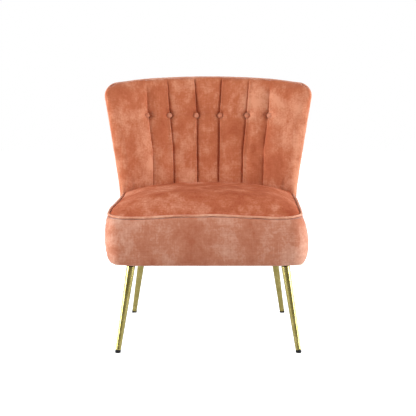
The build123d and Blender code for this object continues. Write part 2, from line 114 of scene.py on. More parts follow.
def unitTangents(line):
    # direction of the line at each of its points
    tangent = np.gradient(line, axis=0)
    return tangent / np.maximum(np.linalg.norm(tangent, axis=1, keepdims=True), 1e-9)


def runLength(line):
    # distance along the line from its first point
    return np.concatenate([[0.0], np.cumsum(np.linalg.norm(np.diff(line, axis=0), axis=1))])


def bothSides(half):
    # the mirror image of a right half, then the half itself run backwards
    return np.concatenate([half * [-1, 1], half[::-1][1:]])


def rimOf(field):
    # the grid's left side, last row and right side, as one line
    return np.concatenate([field[:-1, 0], field[-1], field[:-1, -1][::-1]])


def footOf(rings, field):
    # the open end of a pad: the rings' first ends, the field's first row and the rings' last ends
    return np.concatenate([rings[::-1, 0], field[0, 1:-1], rings[:, -1]])


def feed(tree, node, inputs):
    # links the sockets among the values, and sets the rest
    for key, value in inputs.items():
        if isinstance(value, bpy.types.NodeSocket):
            tree.links.new(value, node.inputs[key])
        else:
            node.inputs[key].default_value = value


def addNode(tree, kind, inputs=None, **settings):
    node = tree.nodes.new(kind)
    for key, value in settings.items():
        setattr(node, key, value)
    feed(tree, node, inputs or {})
    return node


def mathNode(tree, operation, first, second=0.5):
    return addNode(tree, "ShaderNodeMath", {0: first, 1: second}, operation=operation).outputs[0]


def rangeNode(tree, factor, low, high, fromLow=0.3, fromHigh=0.7):
    values = {"Value": factor, 1: fromLow, 2: fromHigh, 3: low, 4: high}
    return addNode(tree, "ShaderNodeMapRange", values).outputs[0]


def noiseNode(tree, place, scaleOf, detail=2.0, rough=0.5, distortion=0.0):
    values = {"Vector": place, "Scale": scaleOf, "Detail": detail}
    values.update({"Roughness": rough, "Distortion": distortion})
    return addNode(tree, "ShaderNodeTexNoise", values).outputs[0]


def stretchNode(tree, place, stretch):
    return addNode(tree, "ShaderNodeVectorMath", {0: place, 1: stretch}, operation="MULTIPLY").outputs[0]


def weightedSum(tree, parts):
    total = mathNode(tree, "MULTIPLY", *parts[0])
    for socket, weight in parts[1:]:
        total = mathNode(tree, "ADD", total, mathNode(tree, "MULTIPLY", socket, weight))
    return total
studio = dict(
    cameraPlace=(-0.0007, -2.750, 0.668),
    cameraPitch=6.08,
    lens=79.3,
    backdrop=1.0,
    frontFill=0.19,
    rearFill=0.60,
    fillSpan=(-0.85, -0.15),
    keyPower=13.5,
    sidePower=72.0,
    sideTint=(0.93, 0.97, 1.0),
    topPower=1.5,
    aim=(0.0, 0.0, 0.45),
    floorSize=24.0,
    floorGlow=0.70,
    floorBounce=0.22,
    floorShade=0.50,
)

scene = bpy.context.scene
scene.view_settings.view_transform = "Standard"
cameraData = bpy.data.cameras.new("studioCamera")
cameraData.lens = studio["lens"]
cameraData.sensor_width = 36.0
cameraData.clip_end = 60.0
camera = bpy.data.objects.new("studioCamera", cameraData)
camera.location = studio["cameraPlace"]
camera.rotation_euler = (math.radians(90.0 - studio["cameraPitch"]), 0.0, 0.0)
scene.collection.objects.link(camera)
scene.camera = camera


def areaLight(name, place, aim, size, power, tint=(1.0, 1.0, 1.0)):
    lamp = bpy.data.lights.new(name, "AREA")
    lamp.shape = "RECTANGLE"
    lamp.size, lamp.size_y = size
    lamp.energy = power
    lamp.color = tint
    holder = bpy.data.objects.new(name, lamp)
    holder.location = place
    holder.rotation_euler = (Vector(aim) - Vector(place)).to_track_quat("-Z", "Y").to_euler()
    scene.collection.objects.link(holder)
areaLight("keySoftbox", (-1.1, -2.9, 2.0), studio["aim"], (1.6, 1.6), studio["keyPower"])
for name, x in (("leftSoftbox", -2.3), ("rightSoftbox", 2.3)):
    areaLight(name, (x, -0.6, 0.9), studio["aim"], (1.0, 1.9), studio["sidePower"], studio["sideTint"])
areaLight("topSoftbox", (0.0, -0.3, 2.8), (0.0, 0.0, 0.0), (2.4, 2.4), studio["topPower"])

white = (1.0, 1.0, 1.0, 1.0)
scene.world = bpy.data.worlds.new("studioWorld")
scene.world.use_nodes = True
sky = scene.world.node_tree
sky.nodes.clear()
# the unlit side of the studio lies behind the camera, so the fill grows from front to rear
skyPlace = addNode(sky, "ShaderNodeTexCoord").outputs["Generated"]
skyDepth = addNode(sky, "ShaderNodeSeparateXYZ", {0: skyPlace}).outputs["Y"]
fill = rangeNode(sky, skyDepth, studio["frontFill"], studio["rearFill"], *studio["fillSpan"])
fillLight = addNode(sky, "ShaderNodeBackground", {"Color": white, "Strength": fill})
backdrop = addNode(sky, "ShaderNodeBackground", {"Color": white, "Strength": studio["backdrop"]})
skySeen = addNode(sky, "ShaderNodeLightPath").outputs["Is Camera Ray"]
skyMix = addNode(sky, "ShaderNodeMixShader", {0: skySeen, 1: fillLight.outputs[0], 2: backdrop.outputs[0]})
addNode(sky, "ShaderNodeOutputWorld", {"Surface": skyMix.outputs[0]})


def newGroup(name, inputs, outputs):
    # a tuple makes a vector socket and a number a plain one; every output is a number
    group = bpy.data.node_groups.new(name, "ShaderNodeTree")
    for label, value in {"Place": (0.0, 0.0, 0.0), **inputs}.items():
        kind = "NodeSocketVector" if isinstance(value, tuple) else "NodeSocketFloat"
        group.interface.new_socket(label, in_out="INPUT", socket_type=kind).default_value = value
    for label in outputs:
        group.interface.new_socket(label, in_out="OUTPUT", socket_type="NodeSocketFloat")
    return group, group.nodes.new("NodeGroupInput").outputs, group.nodes.new("NodeGroupOutput")


# crushed pile: broad, middle and fine patches where the pile leans one way or the other
pileScales = {"Patch Scale": 34.0, "Fine Scale": 160.0}
pileGroup, pileIn, pileOut = newGroup("pilePatches", pileScales, ["Mottle", "Pile Height"])
place, patchScale, fineScale = pileIn["Place"], pileIn["Patch Scale"], pileIn["Fine Scale"]
leaning = stretchNode(pileGroup, place, (1.0, 0.8, 0.80))
crossways = stretchNode(pileGroup, place, (0.10, 1.0, 1.0))
upright = stretchNode(pileGroup, place, (1.0, 0.25, 0.10))
threadScale = mathNode(pileGroup, "MULTIPLY", fineScale, 1.7)
broad = noiseNode(pileGroup, leaning, mathNode(pileGroup, "MULTIPLY", patchScale, 0.38), 3.0, 0.55, 0.3)
middle = noiseNode(pileGroup, leaning, patchScale, 4.0, 0.6, 0.5)
fine = noiseNode(pileGroup, place, fineScale, 2.0, 0.6)
weft = noiseNode(pileGroup, crossways, threadScale, 1.0, 0.5)
warp = noiseNode(pileGroup, upright, threadScale, 1.0, 0.5)
threads = mathNode(pileGroup, "ADD", weft, warp)
tuft = noiseNode(pileGroup, place, mathNode(pileGroup, "MULTIPLY", fineScale, 7.0), 1.0, 0.5)
mottle = weightedSum(pileGroup, [(broad, 0.42), (middle, 0.32), (fine, 0.15), (threads, 0.08)])
pileTop = weightedSum(pileGroup, [(fine, 0.35), (threads, 0.20), (tuft, 0.25)])
feed(pileGroup, pileOut, {"Mottle": mottle, "Pile Height": pileTop})

# fine unevenness of a hard surface: handling marks for its gloss, and a faint ripple
wearScales = {"Smudge Scale": 30.0, "Scratch Scale": 400.0}
wearGroup, wearIn, wearOut = newGroup("handlingWear", wearScales, ["Smudge", "Ripple"])
smudge = noiseNode(wearGroup, wearIn["Place"], wearIn["Smudge Scale"], 4.0, 0.6, 0.4)
scratch = noiseNode(wearGroup, wearIn["Place"], wearIn["Scratch Scale"], 2.0, 0.5)
feed(wearGroup, wearOut, {"Smudge": smudge, "Ripple": scratch})

# wood grain: long streaks along one axis, set by stretching the place
grainScales = {"Stretch": (1.0, 1.0, 0.06), "Grain Scale": 120.0}
grainGroup, grainIn, grainOut = newGroup("sawnGrain", grainScales, ["Grain", "Pores"])
stretched = stretchNode(grainGroup, grainIn["Place"], grainIn["Stretch"])
streaks = noiseNode(grainGroup, stretched, grainIn["Grain Scale"], 4.0, 0.55, 1.2)
poreScale = mathNode(grainGroup, "MULTIPLY", grainIn["Grain Scale"], 5.0)
pores = noiseNode(grainGroup, stretched, poreScale, 2.0, 0.6)
feed(grainGroup, grainOut, {"Grain": streaks, "Pores": pores})

# felted or sprayed fibres: clumps and single threads
fibreGroup, fibreIn, fibreOut = newGroup("mattedFibre", {"Clump Scale": 90.0}, ["Clump", "Thread"])
clump = noiseNode(fibreGroup, fibreIn["Place"], fibreIn["Clump Scale"], 4.0, 0.6)
strandScale = mathNode(fibreGroup, "MULTIPLY", fibreIn["Clump Scale"], 9.0)
strands = noiseNode(fibreGroup, fibreIn["Place"], strandScale, 2.0, 0.7, 2.0)
feed(fibreGroup, fibreOut, {"Clump": clump, "Thread": strands})
def newMaterial(name):
    material = bpy.data.materials.new(name)
    material.use_nodes = True
    tree = material.node_tree
    shader = tree.nodes["Principled BSDF"]
    coords = tree.nodes.new("ShaderNodeTexCoord").outputs["Object"]
    return material, tree, shader, coords


def placeGroup(tree, group, coords, values):
    node = addNode(tree, "ShaderNodeGroup", node_tree=group)
    feed(tree, node, {"Place": coords, **values})
    return node.outputs
def colourRamp(tree, factor, stops):
    node = addNode(tree, "ShaderNodeValToRGB", {"Fac": factor})
    ramp = node.color_ramp
    while len(ramp.elements) < len(stops):
        ramp.elements.new(0.5)
    for element, (position, colour) in zip(ramp.elements, stops):
        element.position = position
        element.color = (*colour, 1.0)
    return node.outputs[0]
def bumpFrom(tree, height, settings):
    values = {"Height": height, "Strength": settings["bump"], "Distance": settings["bumpDepth"]}
    return addNode(tree, "ShaderNodeBump", values).outputs[0]


def velvetMaterial(name, settings):
    material, tree, shader, coords = newMaterial(name)
    scales = {"Patch Scale": settings["patchScale"], "Fine Scale": settings["fineScale"]}
    pile = placeGroup(tree, pileGroup, coords, scales)
    # painted sheen: the colour is made paler towards the two sides, less so near the top of the back
    parts = addNode(tree, "ShaderNodeSeparateXYZ", {0: coords}).outputs
    across = mathNode(tree, "ABSOLUTE", mathNode(tree, "ADD", parts["X"], settings["sheenPaintShift"]))
    paintedSideSheen = rangeNode(tree, across, 0.0, settings["sideSheenPaint"], 0.12, 0.31)
    paintedSideSheen = mathNode(tree, "MULTIPLY", paintedSideSheen, rangeNode(tree, parts["Z"], 1.0, 0.2, 0.58, 0.75))
    mottle = mathNode(tree, "ADD", pile["Mottle"], paintedSideSheen)
    colours = [(0.395, settings["dark"]), (0.525, settings["middle"]), (0.655, settings["light"])]
    values = {
        "Base Color": colourRamp(tree, mottle, colours),
        "Roughness": rangeNode(tree, mottle, settings["roughLow"], settings["roughHigh"]),
        "Normal": bumpFrom(tree, pile["Pile Height"], settings),
        "Sheen Weight": settings["sheen"],
        "Sheen Roughness": settings["sheenRoughness"],
        "Sheen Tint": (*settings["sheenTint"], 1.0),
        "Specular IOR Level": settings["gloss"],
    }
    feed(tree, shader, values)
    return material
velvetLook = dict(
    patchScale=30.0,
    fineScale=170.0,
    dark=(0.365, 0.080, 0.028),
    middle=(0.462, 0.130, 0.056),
    light=(0.625, 0.262, 0.150),
    roughLow=0.72,
    roughHigh=0.90,
    gloss=0.25,
    bump=0.55,
    bumpDepth=0.0012,
    sheen=0.7,
    sheenRoughness=0.30,
    sheenTint=(1.0, 0.88, 0.82),
    # painted sheen: how much paler the colour grows towards the two sides
    sideSheenPaint=0.070,
    sheenPaintShift=0.022,
)
velvet = velvetMaterial("salmonVelvet", velvetLook)
outerVelvet = velvetMaterial("outerVelvet", dict(velvetLook, sideSheenPaint=0.0, sheen=0.6))
# the seat's copy of the velvet, without sheen; its darker, more saturated darks are painted shade matched to
# how the seat top is lit
seatShadeLook = dict(
    velvetLook,
    dark=(0.335, 0.062, 0.023),
    middle=(0.462, 0.123, 0.056),
    light=(0.640, 0.262, 0.158),
    bump=0.95,
    sheen=0.0,
    gloss=0.12,
    sideSheenPaint=0.0,
)
seatVelvetPaintedShade = velvetMaterial("seatVelvetPaintedShade", seatShadeLook)
# the border's copy of the velvet, paler and pinker than the back's: painted sheen on the seat's front and
# sides
borderSheenLook = dict(
    velvetLook,
    dark=(0.415, 0.116, 0.055),
    middle=(0.512, 0.190, 0.108),
    light=(0.660, 0.345, 0.242),
    sheen=0.6,
    sheenRoughness=0.36,
    sideSheenPaint=0.03,
)
borderVelvetPaintedSheen = velvetMaterial("borderVelvetPaintedSheen", borderSheenLook)
# the piping's copy of the velvet, far paler than the cloth it is cut from: a painted highlight along both
# welts
pipingHighlightLook = dict(
    velvetLook,
    dark=(0.54, 0.200, 0.115),
    middle=(0.66, 0.290, 0.180),
    light=(0.76, 0.400, 0.270),
    fineScale=420.0,
    patchScale=60.0,
    bump=0.35,
    sheen=0.15,
    sideSheenPaint=0.0,
)
paintedHighlightWeltVelvet = velvetMaterial("paintedHighlightPipingVelvet", pipingHighlightLook)
# the buttons' copy of the velvet, paler than the cloth around them: a painted highlight
buttonHighlightLook = dict(
    velvetLook,
    dark=(0.44, 0.135, 0.066),
    middle=(0.52, 0.185, 0.100),
    light=(0.62, 0.270, 0.170),
    fineScale=420.0,
    patchScale=60.0,
    bump=0.35,
)
buttonVelvetPaintedHighlight = velvetMaterial("buttonVelvetPaintedHighlight", buttonHighlightLook)
def plainMaterial(name, group, scales, settings):
    # the group's first output gives the colour, its second the bump, and either the roughness
    material, tree, shader, coords = newMaterial(name)
    outputs = placeGroup(tree, group, coords, scales)
    edge = settings["edge"]
    stops = [(edge, settings["colours"][0]), (1.0 - edge, settings["colours"][1])]
    values = {
        "Base Color": colourRamp(tree, outputs[0], stops),
        "Roughness": rangeNode(tree, outputs[settings["roughBy"]], *settings["rough"]),
        "Normal": bumpFrom(tree, outputs[1], settings),
        **settings["constants"],
    }
    feed(tree, shader, values)
    return material


def metalMaterial(name, smudgeScale, scratchScale, metallic=1.0, gloss=0.5, **look):
    scales = {"Smudge Scale": smudgeScale, "Scratch Scale": scratchScale}
    constants = {"Metallic": metallic, "Specular IOR Level": gloss}
    settings = dict(look, edge=0.35, roughBy=0, bumpDepth=0.0003, constants=constants)
    return plainMaterial(name, wearGroup, scales, settings)


def timberMaterial(name, stretch, colours, grainScale=110.0):
    scales = {"Stretch": stretch, "Grain Scale": grainScale}
    look = dict(edge=0.34, roughBy=1, rough=(0.62, 0.85), bump=0.35, bumpDepth=0.0006, constants={})
    return plainMaterial(name, grainGroup, scales, dict(look, colours=colours))


def fibreMaterial(name, colours, clumpScale=90.0, bumpDepth=0.0008):
    look = dict(edge=0.35, roughBy=1, rough=(0.85, 1.0), bump=0.5, bumpDepth=bumpDepth, constants={})
    return plainMaterial(name, fibreGroup, {"Clump Scale": clumpScale}, dict(look, colours=colours))


brassLook = dict(colours=((0.42, 0.345, 0.105), (0.54, 0.455, 0.165)), rough=(0.20, 0.30), bump=0.06)
brass = metalMaterial("polishedBrass", 38.0, 900.0, **brassLook)
zincLook = dict(colours=((0.42, 0.43, 0.44), (0.60, 0.61, 0.62)), rough=(0.32, 0.50), bump=0.15)
zinc = metalMaterial("zincSteel", 120.0, 700.0, **zincLook)
nylonLook = dict(colours=((0.007, 0.007, 0.008), (0.016, 0.016, 0.018)), rough=(0.50, 0.68), bump=0.18)
nylon = metalMaterial("blackNylon", 90.0, 1500.0, metallic=0.0, gloss=0.22, **nylonLook)
beech = ((0.48, 0.33, 0.19), (0.62, 0.46, 0.29))
timberAcross = timberMaterial("sawnTimberAcross", (0.05, 1.0, 1.0), beech)
timberAlong = timberMaterial("sawnTimberAlong", (1.0, 0.05, 1.0), beech)
timberUpright = timberMaterial("sawnTimberUpright", (1.0, 1.0, 0.05), beech)
plywood = timberMaterial("bentPlywood", (0.08, 1.0, 1.0), ((0.52, 0.38, 0.23), (0.68, 0.53, 0.36)), 70.0)
fibreboard = fibreMaterial("brownFibreboard", ((0.17, 0.10, 0.06), (0.26, 0.17, 0.10)))
felt = fibreMaterial("needledFelt", ((0.18, 0.17, 0.16), (0.34, 0.32, 0.29)))
dustCloth = fibreMaterial("blackDustCloth", ((0.006, 0.006, 0.007), (0.016, 0.016, 0.018)), 160.0)
twine = fibreMaterial("waxedTwine", ((0.50, 0.44, 0.33), (0.70, 0.64, 0.52)), 600.0, 0.0004)
print("materials made")

backShape = dict(
    frontRadius=0.540,
    rearRadius=0.560,
    frontLean=0.21,
    rearLean=0.079,
    faceLevel=0.430,
    seatDepth=0.489,
    halfAtSeat=0.274,
    halfAtShoulder=0.324,
    flareLevel=0.412,
    cornerRadius=0.040,
    topCrown=2.300,
    cornerDroop=0.0035,
    padDepth=0.026,
    openingLevel=0.402,
    flareBlend=0.03,
    sidePoints=260,
    cornerPoints=90,
    topPoints=240,
)
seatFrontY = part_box("seat_border_cover")[0].y
frontFaceY = seatFrontY + backShape["seatDepth"]
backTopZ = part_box("back_outer_cover")[1].z
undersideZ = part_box("back_outer_cover")[0].z
rearTopY = 0.306
rearTopZ = 0.778


def arcDepth(radius, x):
    # radius - sqrt(radius^2 - x^2)
    return radius - np.sqrt(np.maximum(radius**2 - x**2, 1e-9))


def frontLayer(x, z, sunk):
    # y of the layer sunk behind the back's front face, a leaning arc seen from above
    slope = math.hypot(1.0, backShape["frontLean"])
    lift = (z - backShape["faceLevel"]) * backShape["frontLean"]
    return frontFaceY + lift + (sunk - arcDepth(backShape["frontRadius"] + sunk, x)) * slope


def rearLayer(x, z, sunk):
    # y of the layer sunk ahead of the back's rear face
    slope = math.hypot(1.0, backShape["rearLean"])
    lift = (z - rearTopZ) * backShape["rearLean"]
    return rearTopY + lift + (-sunk - arcDepth(backShape["rearRadius"] - sunk, x)) * slope


def backOutline(foot):
    # right half of the back seen from the front, from its foot up to the middle of the top: a side
    # that flares above the seat, a round corner, and an arc of a wide circle
    s = backShape
    crown, corner = s["topCrown"], s["cornerRadius"]
    topCentre = np.array([0.0, backTopZ - crown])
    shoulderZ = backTopZ - float(arcDepth(crown, s["halfAtShoulder"])) - corner
    flare = (s["halfAtShoulder"] - s["halfAtSeat"]) / (shoulderZ - s["flareLevel"])
    out = np.array([1.0, -flare]) / math.hypot(1.0, flare)
    up = np.array([flare, 1.0]) / math.hypot(1.0, flare)
    start = np.array([s["halfAtSeat"], s["flareLevel"]]) - corner * out - topCentre
    reach = -start @ up + math.sqrt((start @ up) ** 2 - start @ start + (crown - corner) ** 2)
    centre = topCentre + start + reach * up
    sideEnd = centre + corner * out
    firstTurn = math.atan2(out[1], out[0])
    lastTurn = math.atan2(*(centre - topCentre)[::-1])
    z = np.linspace(foot, sideEnd[1], s["sidePoints"])[:-1]
    ramp = z - s["flareLevel"]
    ramp = 0.5 * (ramp + np.sqrt(ramp**2 + s["flareBlend"] ** 2))
    side = np.stack([s["halfAtSeat"] + flare * ramp, z], -1)
    turn = np.linspace(firstTurn, lastTurn, s["cornerPoints"])[:, None]
    bend = centre + corner * np.concatenate([np.cos(turn), np.sin(turn)], -1)
    turn = np.linspace(lastTurn, math.pi / 2, s["topPoints"])[1:, None]
    top = topCentre + crown * np.concatenate([np.cos(turn), np.sin(turn)], -1)
    line = np.concatenate([side, bend, top])
    # the padding is pulled down a little over the two top corners
    pulled = smoothStep(0.19, 0.30, line[:, 0]) * smoothStep(0.62, 0.74, line[:, 1])
    line[:, 1] -= s["cornerDroop"] * pulled
    return line, len(side) + s["cornerPoints"] // 2
def outwardNormals(line):
    # the tangent turned a quarter turn to the right
    tangent = unitTangents(line)
    return np.stack([tangent[:, 1], -tangent[:, 0]], -1)
def padGrid(outline, turnAt, sideRows, columnsAt, rings, footAt):
    # outline is the right half from the open foot to the middle of the top. Ring m lies rings[m]
    # inside it, along the outline's normal. The inner field is a grid whose columns run
    # from the foot to the innermost ring at the places that columnsAt gives for each level.
    normal = outwardNormals(outline)
    inner = outline - normal * rings[0]
    length = runLength(outline)
    turnLength = length[turnAt]
    sideLengths = np.linspace(0.0, turnLength, sideRows)
    topA, topB, topLength = inner[turnAt:, 0], inner[turnAt:, 1], length[turnAt:]
    level = np.interp(0.0, topA[::-1], topB[::-1])
    sideLevels = np.interp(sideLengths, length, inner[:, 1])
    sidePlaces = np.interp(sideLengths, length, inner[:, 0])

    def sideAt(b):
        return np.interp(b, sideLevels, sidePlaces)

    count = columnsAt(np.zeros(1) + level, sideAt).shape[-1]
    top = np.zeros(count) + sideLevels[-1]
    for _ in range(6):
        # a column's top is where it meets the innermost ring
        places = columnsAt(top, sideAt)
        top = np.interp(np.abs(places), topA[::-1], topB[::-1])
    topLengths = np.interp(np.abs(places), topA[::-1], topLength[::-1])
    topLengths[0] = topLengths[-1] = turnLength
    pathLength = np.concatenate([sideLengths[:-1], topLengths, sideLengths[::-1][1:]])
    mirror = np.concatenate([np.full(sideRows - 1, -1.0), np.sign(places), np.full(sideRows - 1, 1.0)])
    mirror[sideRows - 1] = -1.0
    mirror[sideRows - 2 + count] = 1.0
    mirror[mirror == 0.0] = 1.0

    def alongPath(values):
        return np.interp(pathLength, length, values)

    a = alongPath(outline[:, 0]) - alongPath(normal[:, 0]) * np.array(rings)[:, None]
    b = alongPath(outline[:, 1]) - alongPath(normal[:, 1]) * np.array(rings)[:, None]
    footEdge = outline[0]
    near = 1.0 - smoothStep(0.0, 0.10, b - footEdge[1])
    b = b + (footAt(a) - footAt(footEdge[:1])[0]) * near
    ringA, ringB = a * mirror, b
    leftA, leftB = ringA[0, :sideRows], ringB[0, :sideRows]
    share = (leftB - leftB[0]) / (leftB[-1] - leftB[0])
    acrossTop = slice(sideRows - 1, sideRows - 1 + count)
    topRowA, topRowB = ringA[0, acrossTop], ringB[0, acrossTop]
    footA = columnsAt(np.zeros(count) + leftB[0], sideAt)
    foot = footAt(np.abs(footA))
    foot[0] = foot[-1] = leftB[0]
    fieldB = foot + share[:, None] * (topRowB - foot)
    fieldA = columnsAt(fieldB, sideAt)
    fieldA[:, 0], fieldA[:, -1] = leftA, -leftA
    fieldB[:, 0] = fieldB[:, -1] = leftB
    fieldA[-1], fieldB[-1] = topRowA, topRowB
    return ringA, ringB, fieldA, fieldB
def closedPad(name, frontRings, frontField, rearRings, rearField):
    # front and rear faces that share their outer ring, and a wall across the open foot
    share = np.linspace(0.0, 1.0, 4)[:, None, None]
    wall = footOf(frontRings, frontField) * (1 - share) + footOf(rearRings, rearField) * share
    return meshFrom(name, [frontRings, frontField, rearRings, rearField, wall])
def evenColumns(count):
    # columns spread evenly between the two sides
    steps = np.linspace(-1.0, 1.0, count)

    def columnsAt(b, sideAt):
        half = sideAt(b)
        if half.ndim == 1 and len(half) != count:
            return half[..., None] * steps
        return half * steps

    return columnsAt


def spreadWeights(kept, count):
    # hat functions: each fine index takes from its two nearest kept ones, in straight-line shares,
    # and the shares are then softened by repeated (1, 2, 1) / 4 averages
    weights = np.stack([np.interp(np.arange(count), kept, line) for line in np.eye(len(kept))], -1)
    for _ in range(3):
        padded = np.concatenate([weights[:1], weights, weights[-1:]])
        weights = (padded[:-2] + 2 * padded[1:-1] + padded[2:]) / 4
    return weights


def swellCover(name, rings, field, keep, hold, settings):
    # cloth simulation of a pad's cover: a coarse copy of its front grids, held where it is sewn or
    # buttoned, is blown out by an even pressure; how far it moved is capped and spread back over
    # the fine grids. With the simulation skipped, nothing moves.
    rows, cols = field.shape[:2]
    ringsKept, rowsKept, colsKept = keep
    last = rows - 1
    fallingRows = last + cols - 1 + last - rowsKept[::-1][1:]
    pathKept = np.concatenate([rowsKept[:-1], last + colsKept, fallingRows])
    coarseField = field[np.ix_(rowsKept, colsKept)]
    coarseRings = rings[np.ix_(ringsKept, pathKept)]
    fieldIndex = np.arange(coarseField[..., 0].size).reshape(coarseField.shape[:2])
    edgeIndex = rimOf(fieldIndex)
    ringIndex = fieldIndex.size + np.arange(coarseRings[1:, :, 0].size).reshape(len(ringsKept) - 1, -1)
    ringQuads = gridQuads(np.concatenate([edgeIndex[None], ringIndex]))
    quads = np.concatenate([gridQuads(fieldIndex), ringQuads])
    if settings["facesDown"]:
        quads = quads[:, ::-1]
    start = np.concatenate([coarseField.reshape(-1, 3), coarseRings[1:].reshape(-1, 3)])
    heldField = hold[0][np.ix_(rowsKept, colsKept)]
    heldRings = hold[1][np.ix_(ringsKept, pathKept)][1:]
    held = np.concatenate([heldField.ravel(), heldRings.ravel()])
    mesh = bpy.data.meshes.new(name)
    mesh.from_pydata(start.tolist(), [], quads.tolist())
    sheet = bpy.data.objects.new(name, mesh)
    scene.collection.objects.link(sheet)
    pins = sheet.vertex_groups.new(name="held")
    for number in np.flatnonzero(held > 0.01):
        pins.add([int(number)], float(min(held[number], 1.0)), "REPLACE")
    cloth = sheet.modifiers.new("swelling", "CLOTH")
    weave = dict(
        vertex_group_mass="held",
        quality=6,
        mass=settings["mass"],
        tension_stiffness=settings["stiffness"],
        compression_stiffness=settings["stiffness"],
        shear_stiffness=settings["shear"],
        bending_stiffness=settings["bending"],
        shrink_min=-settings["slack"],
        use_pressure=True,
        uniform_pressure_force=settings["pressure"],
    )
    for key, value in weave.items():
        setattr(cloth.settings, key, value)
    cloth.settings.effector_weights.gravity = 0.0
    cloth.collision_settings.use_collision = False
    cloth.point_cache.frame_start = 1
    cloth.point_cache.frame_end = settings["frames"]
    for frameNumber in range(1, settings["frames"] + 1):
        scene.frame_set(frameNumber)
    settled = sheet.evaluated_get(bpy.context.evaluated_depsgraph_get()).data
    moved = np.empty(len(start) * 3)
    settled.vertices.foreach_get("co", moved)
    moved = moved.reshape(-1, 3) - start
    scene.frame_set(1)
    bpy.data.objects.remove(sheet)
    length = np.linalg.norm(moved, axis=1, keepdims=True)
    moved *= np.minimum(1.0, settings["cap"] / np.maximum(length, 1e-9))
    print(name, "moved up to", round(float(length.max()), 4), "mean", round(float(length.mean()), 4))
    fieldMoved = moved[:fieldIndex.size].reshape(*fieldIndex.shape, 3)
    ringMoved = np.concatenate([moved[edgeIndex][None], moved[fieldIndex.size:].reshape(*ringIndex.shape, 3)])
    rowWeights, colWeights = spreadWeights(rowsKept, rows), spreadWeights(colsKept, cols)
    ringWeights = spreadWeights(np.array(ringsKept), rings.shape[0])
    pathWeights = spreadWeights(pathKept, rings.shape[1])
    fieldMoved = np.einsum("ri,cj,ijk->rck", rowWeights, colWeights, fieldMoved)
    ringMoved = np.einsum("ri,cj,ijk->rck", ringWeights, pathWeights, ringMoved)
    # the two grids share their common edge
    ringMoved[0] = rimOf(fieldMoved)
    return ringMoved, fieldMoved


pleatLevels = np.array([0.345, 0.430, 0.543, 0.653, 0.761])
pleats = dict(
    places=np.array(
        [
            [-0.1750, -0.1758, -0.1778, -0.1930, -0.2005],
            [-0.1095, -0.1106, -0.1132, -0.1243, -0.1326],
            [-0.0355, -0.0363, -0.0376, -0.0385, -0.0446],
        ]
    ),
    strengths=[0.32, 0.72, 1.0],
    offsets=np.array([-16, -10, -6, -4, -2.8, -1.9, -1.2, -0.6, 0, 0.5, 1.0, 1.7, 2.8, 4.5, 7.5, 12]) / 1000,
    relief=np.array(
        [0, -0.4, -1.2, -1.9, -2.7, -3.6, -4.6, -5.4, -5.8, -4.4, -0.8, 2.7, 4.2, 3.2, 1.2, 0]
    ) / 1000,
    overhang=np.array([0, 0, 0, 0, 0, 0, 0, 0, 0.3, 1.1, 1.9, 2.1, 1.5, 0.6, 0.1, 0]) / 1000,
    panelColumns=9,
    puff=0.0035,
    swelling=dict(
        facesDown=False,
        pressure=4.0,
        mass=0.3,
        stiffness=18.0,
        shear=8.0,
        bending=0.6,
        slack=0.012,
        frames=20,
        cap=0.010,
    ),
)
pleatPlaces = np.concatenate([pleats["places"], -pleats["places"][::-1]])
pleatStrengths = np.array(pleats["strengths"] + pleats["strengths"][::-1])
pleatSides = np.sign(pleatPlaces[:, 0])
buttons = dict(
    level=0.653,
    offsets=np.array([-0.194, -0.124, -0.0385, 0.0385, 0.124, 0.194]),
    depth=0.0085,
    reach=0.0125,
)
def pleatAt(z):
    # places of the six pleats at each level, by straight lines between the listed levels
    return np.stack([np.interp(z, pleatLevels, line) for line in pleatPlaces])


def backColumns(z, sideAt):
    # columns at fixed offsets from each pleat, and evenly spread across the panels between
    lines = pleatAt(z)
    half = sideAt(z)
    steps = np.linspace(0.0, 1.0, pleats["panelColumns"] + 2)[1:-1]
    offsets = pleats["offsets"]
    columns = [-half]
    before = -half
    for line, side in zip(lines, pleatSides):
        local = offsets if side > 0 else -offsets[::-1]
        columns += [before + (line + local[0] - before) * step for step in steps]
        columns += [line + offset for offset in local]
        before = line + local[-1]
    columns += [before + (half - before) * step for step in steps]
    columns.append(half)
    z = np.asarray(z)
    if z.ndim == 1 and len(z) == len(columns):
        return np.array([column[i] for i, column in enumerate(columns)])
    if z.ndim == 2:
        return np.stack([column[:, i] for i, column in enumerate(columns)], -1)
    return np.stack(columns, -1)


def pleatStrengthAt(z):
    # full below the buttons, easing off towards the top, most on the outer pleats
    fade = 1.0 - smoothStep(0.66, 0.77, z) * 0.35
    outer = 1.0 - smoothStep(0.64, 0.76, z) * 0.45
    middle = pleatStrengths[:, None, None] > 0.9
    return pleatStrengths[:, None, None] * np.where(middle, fade, outer)


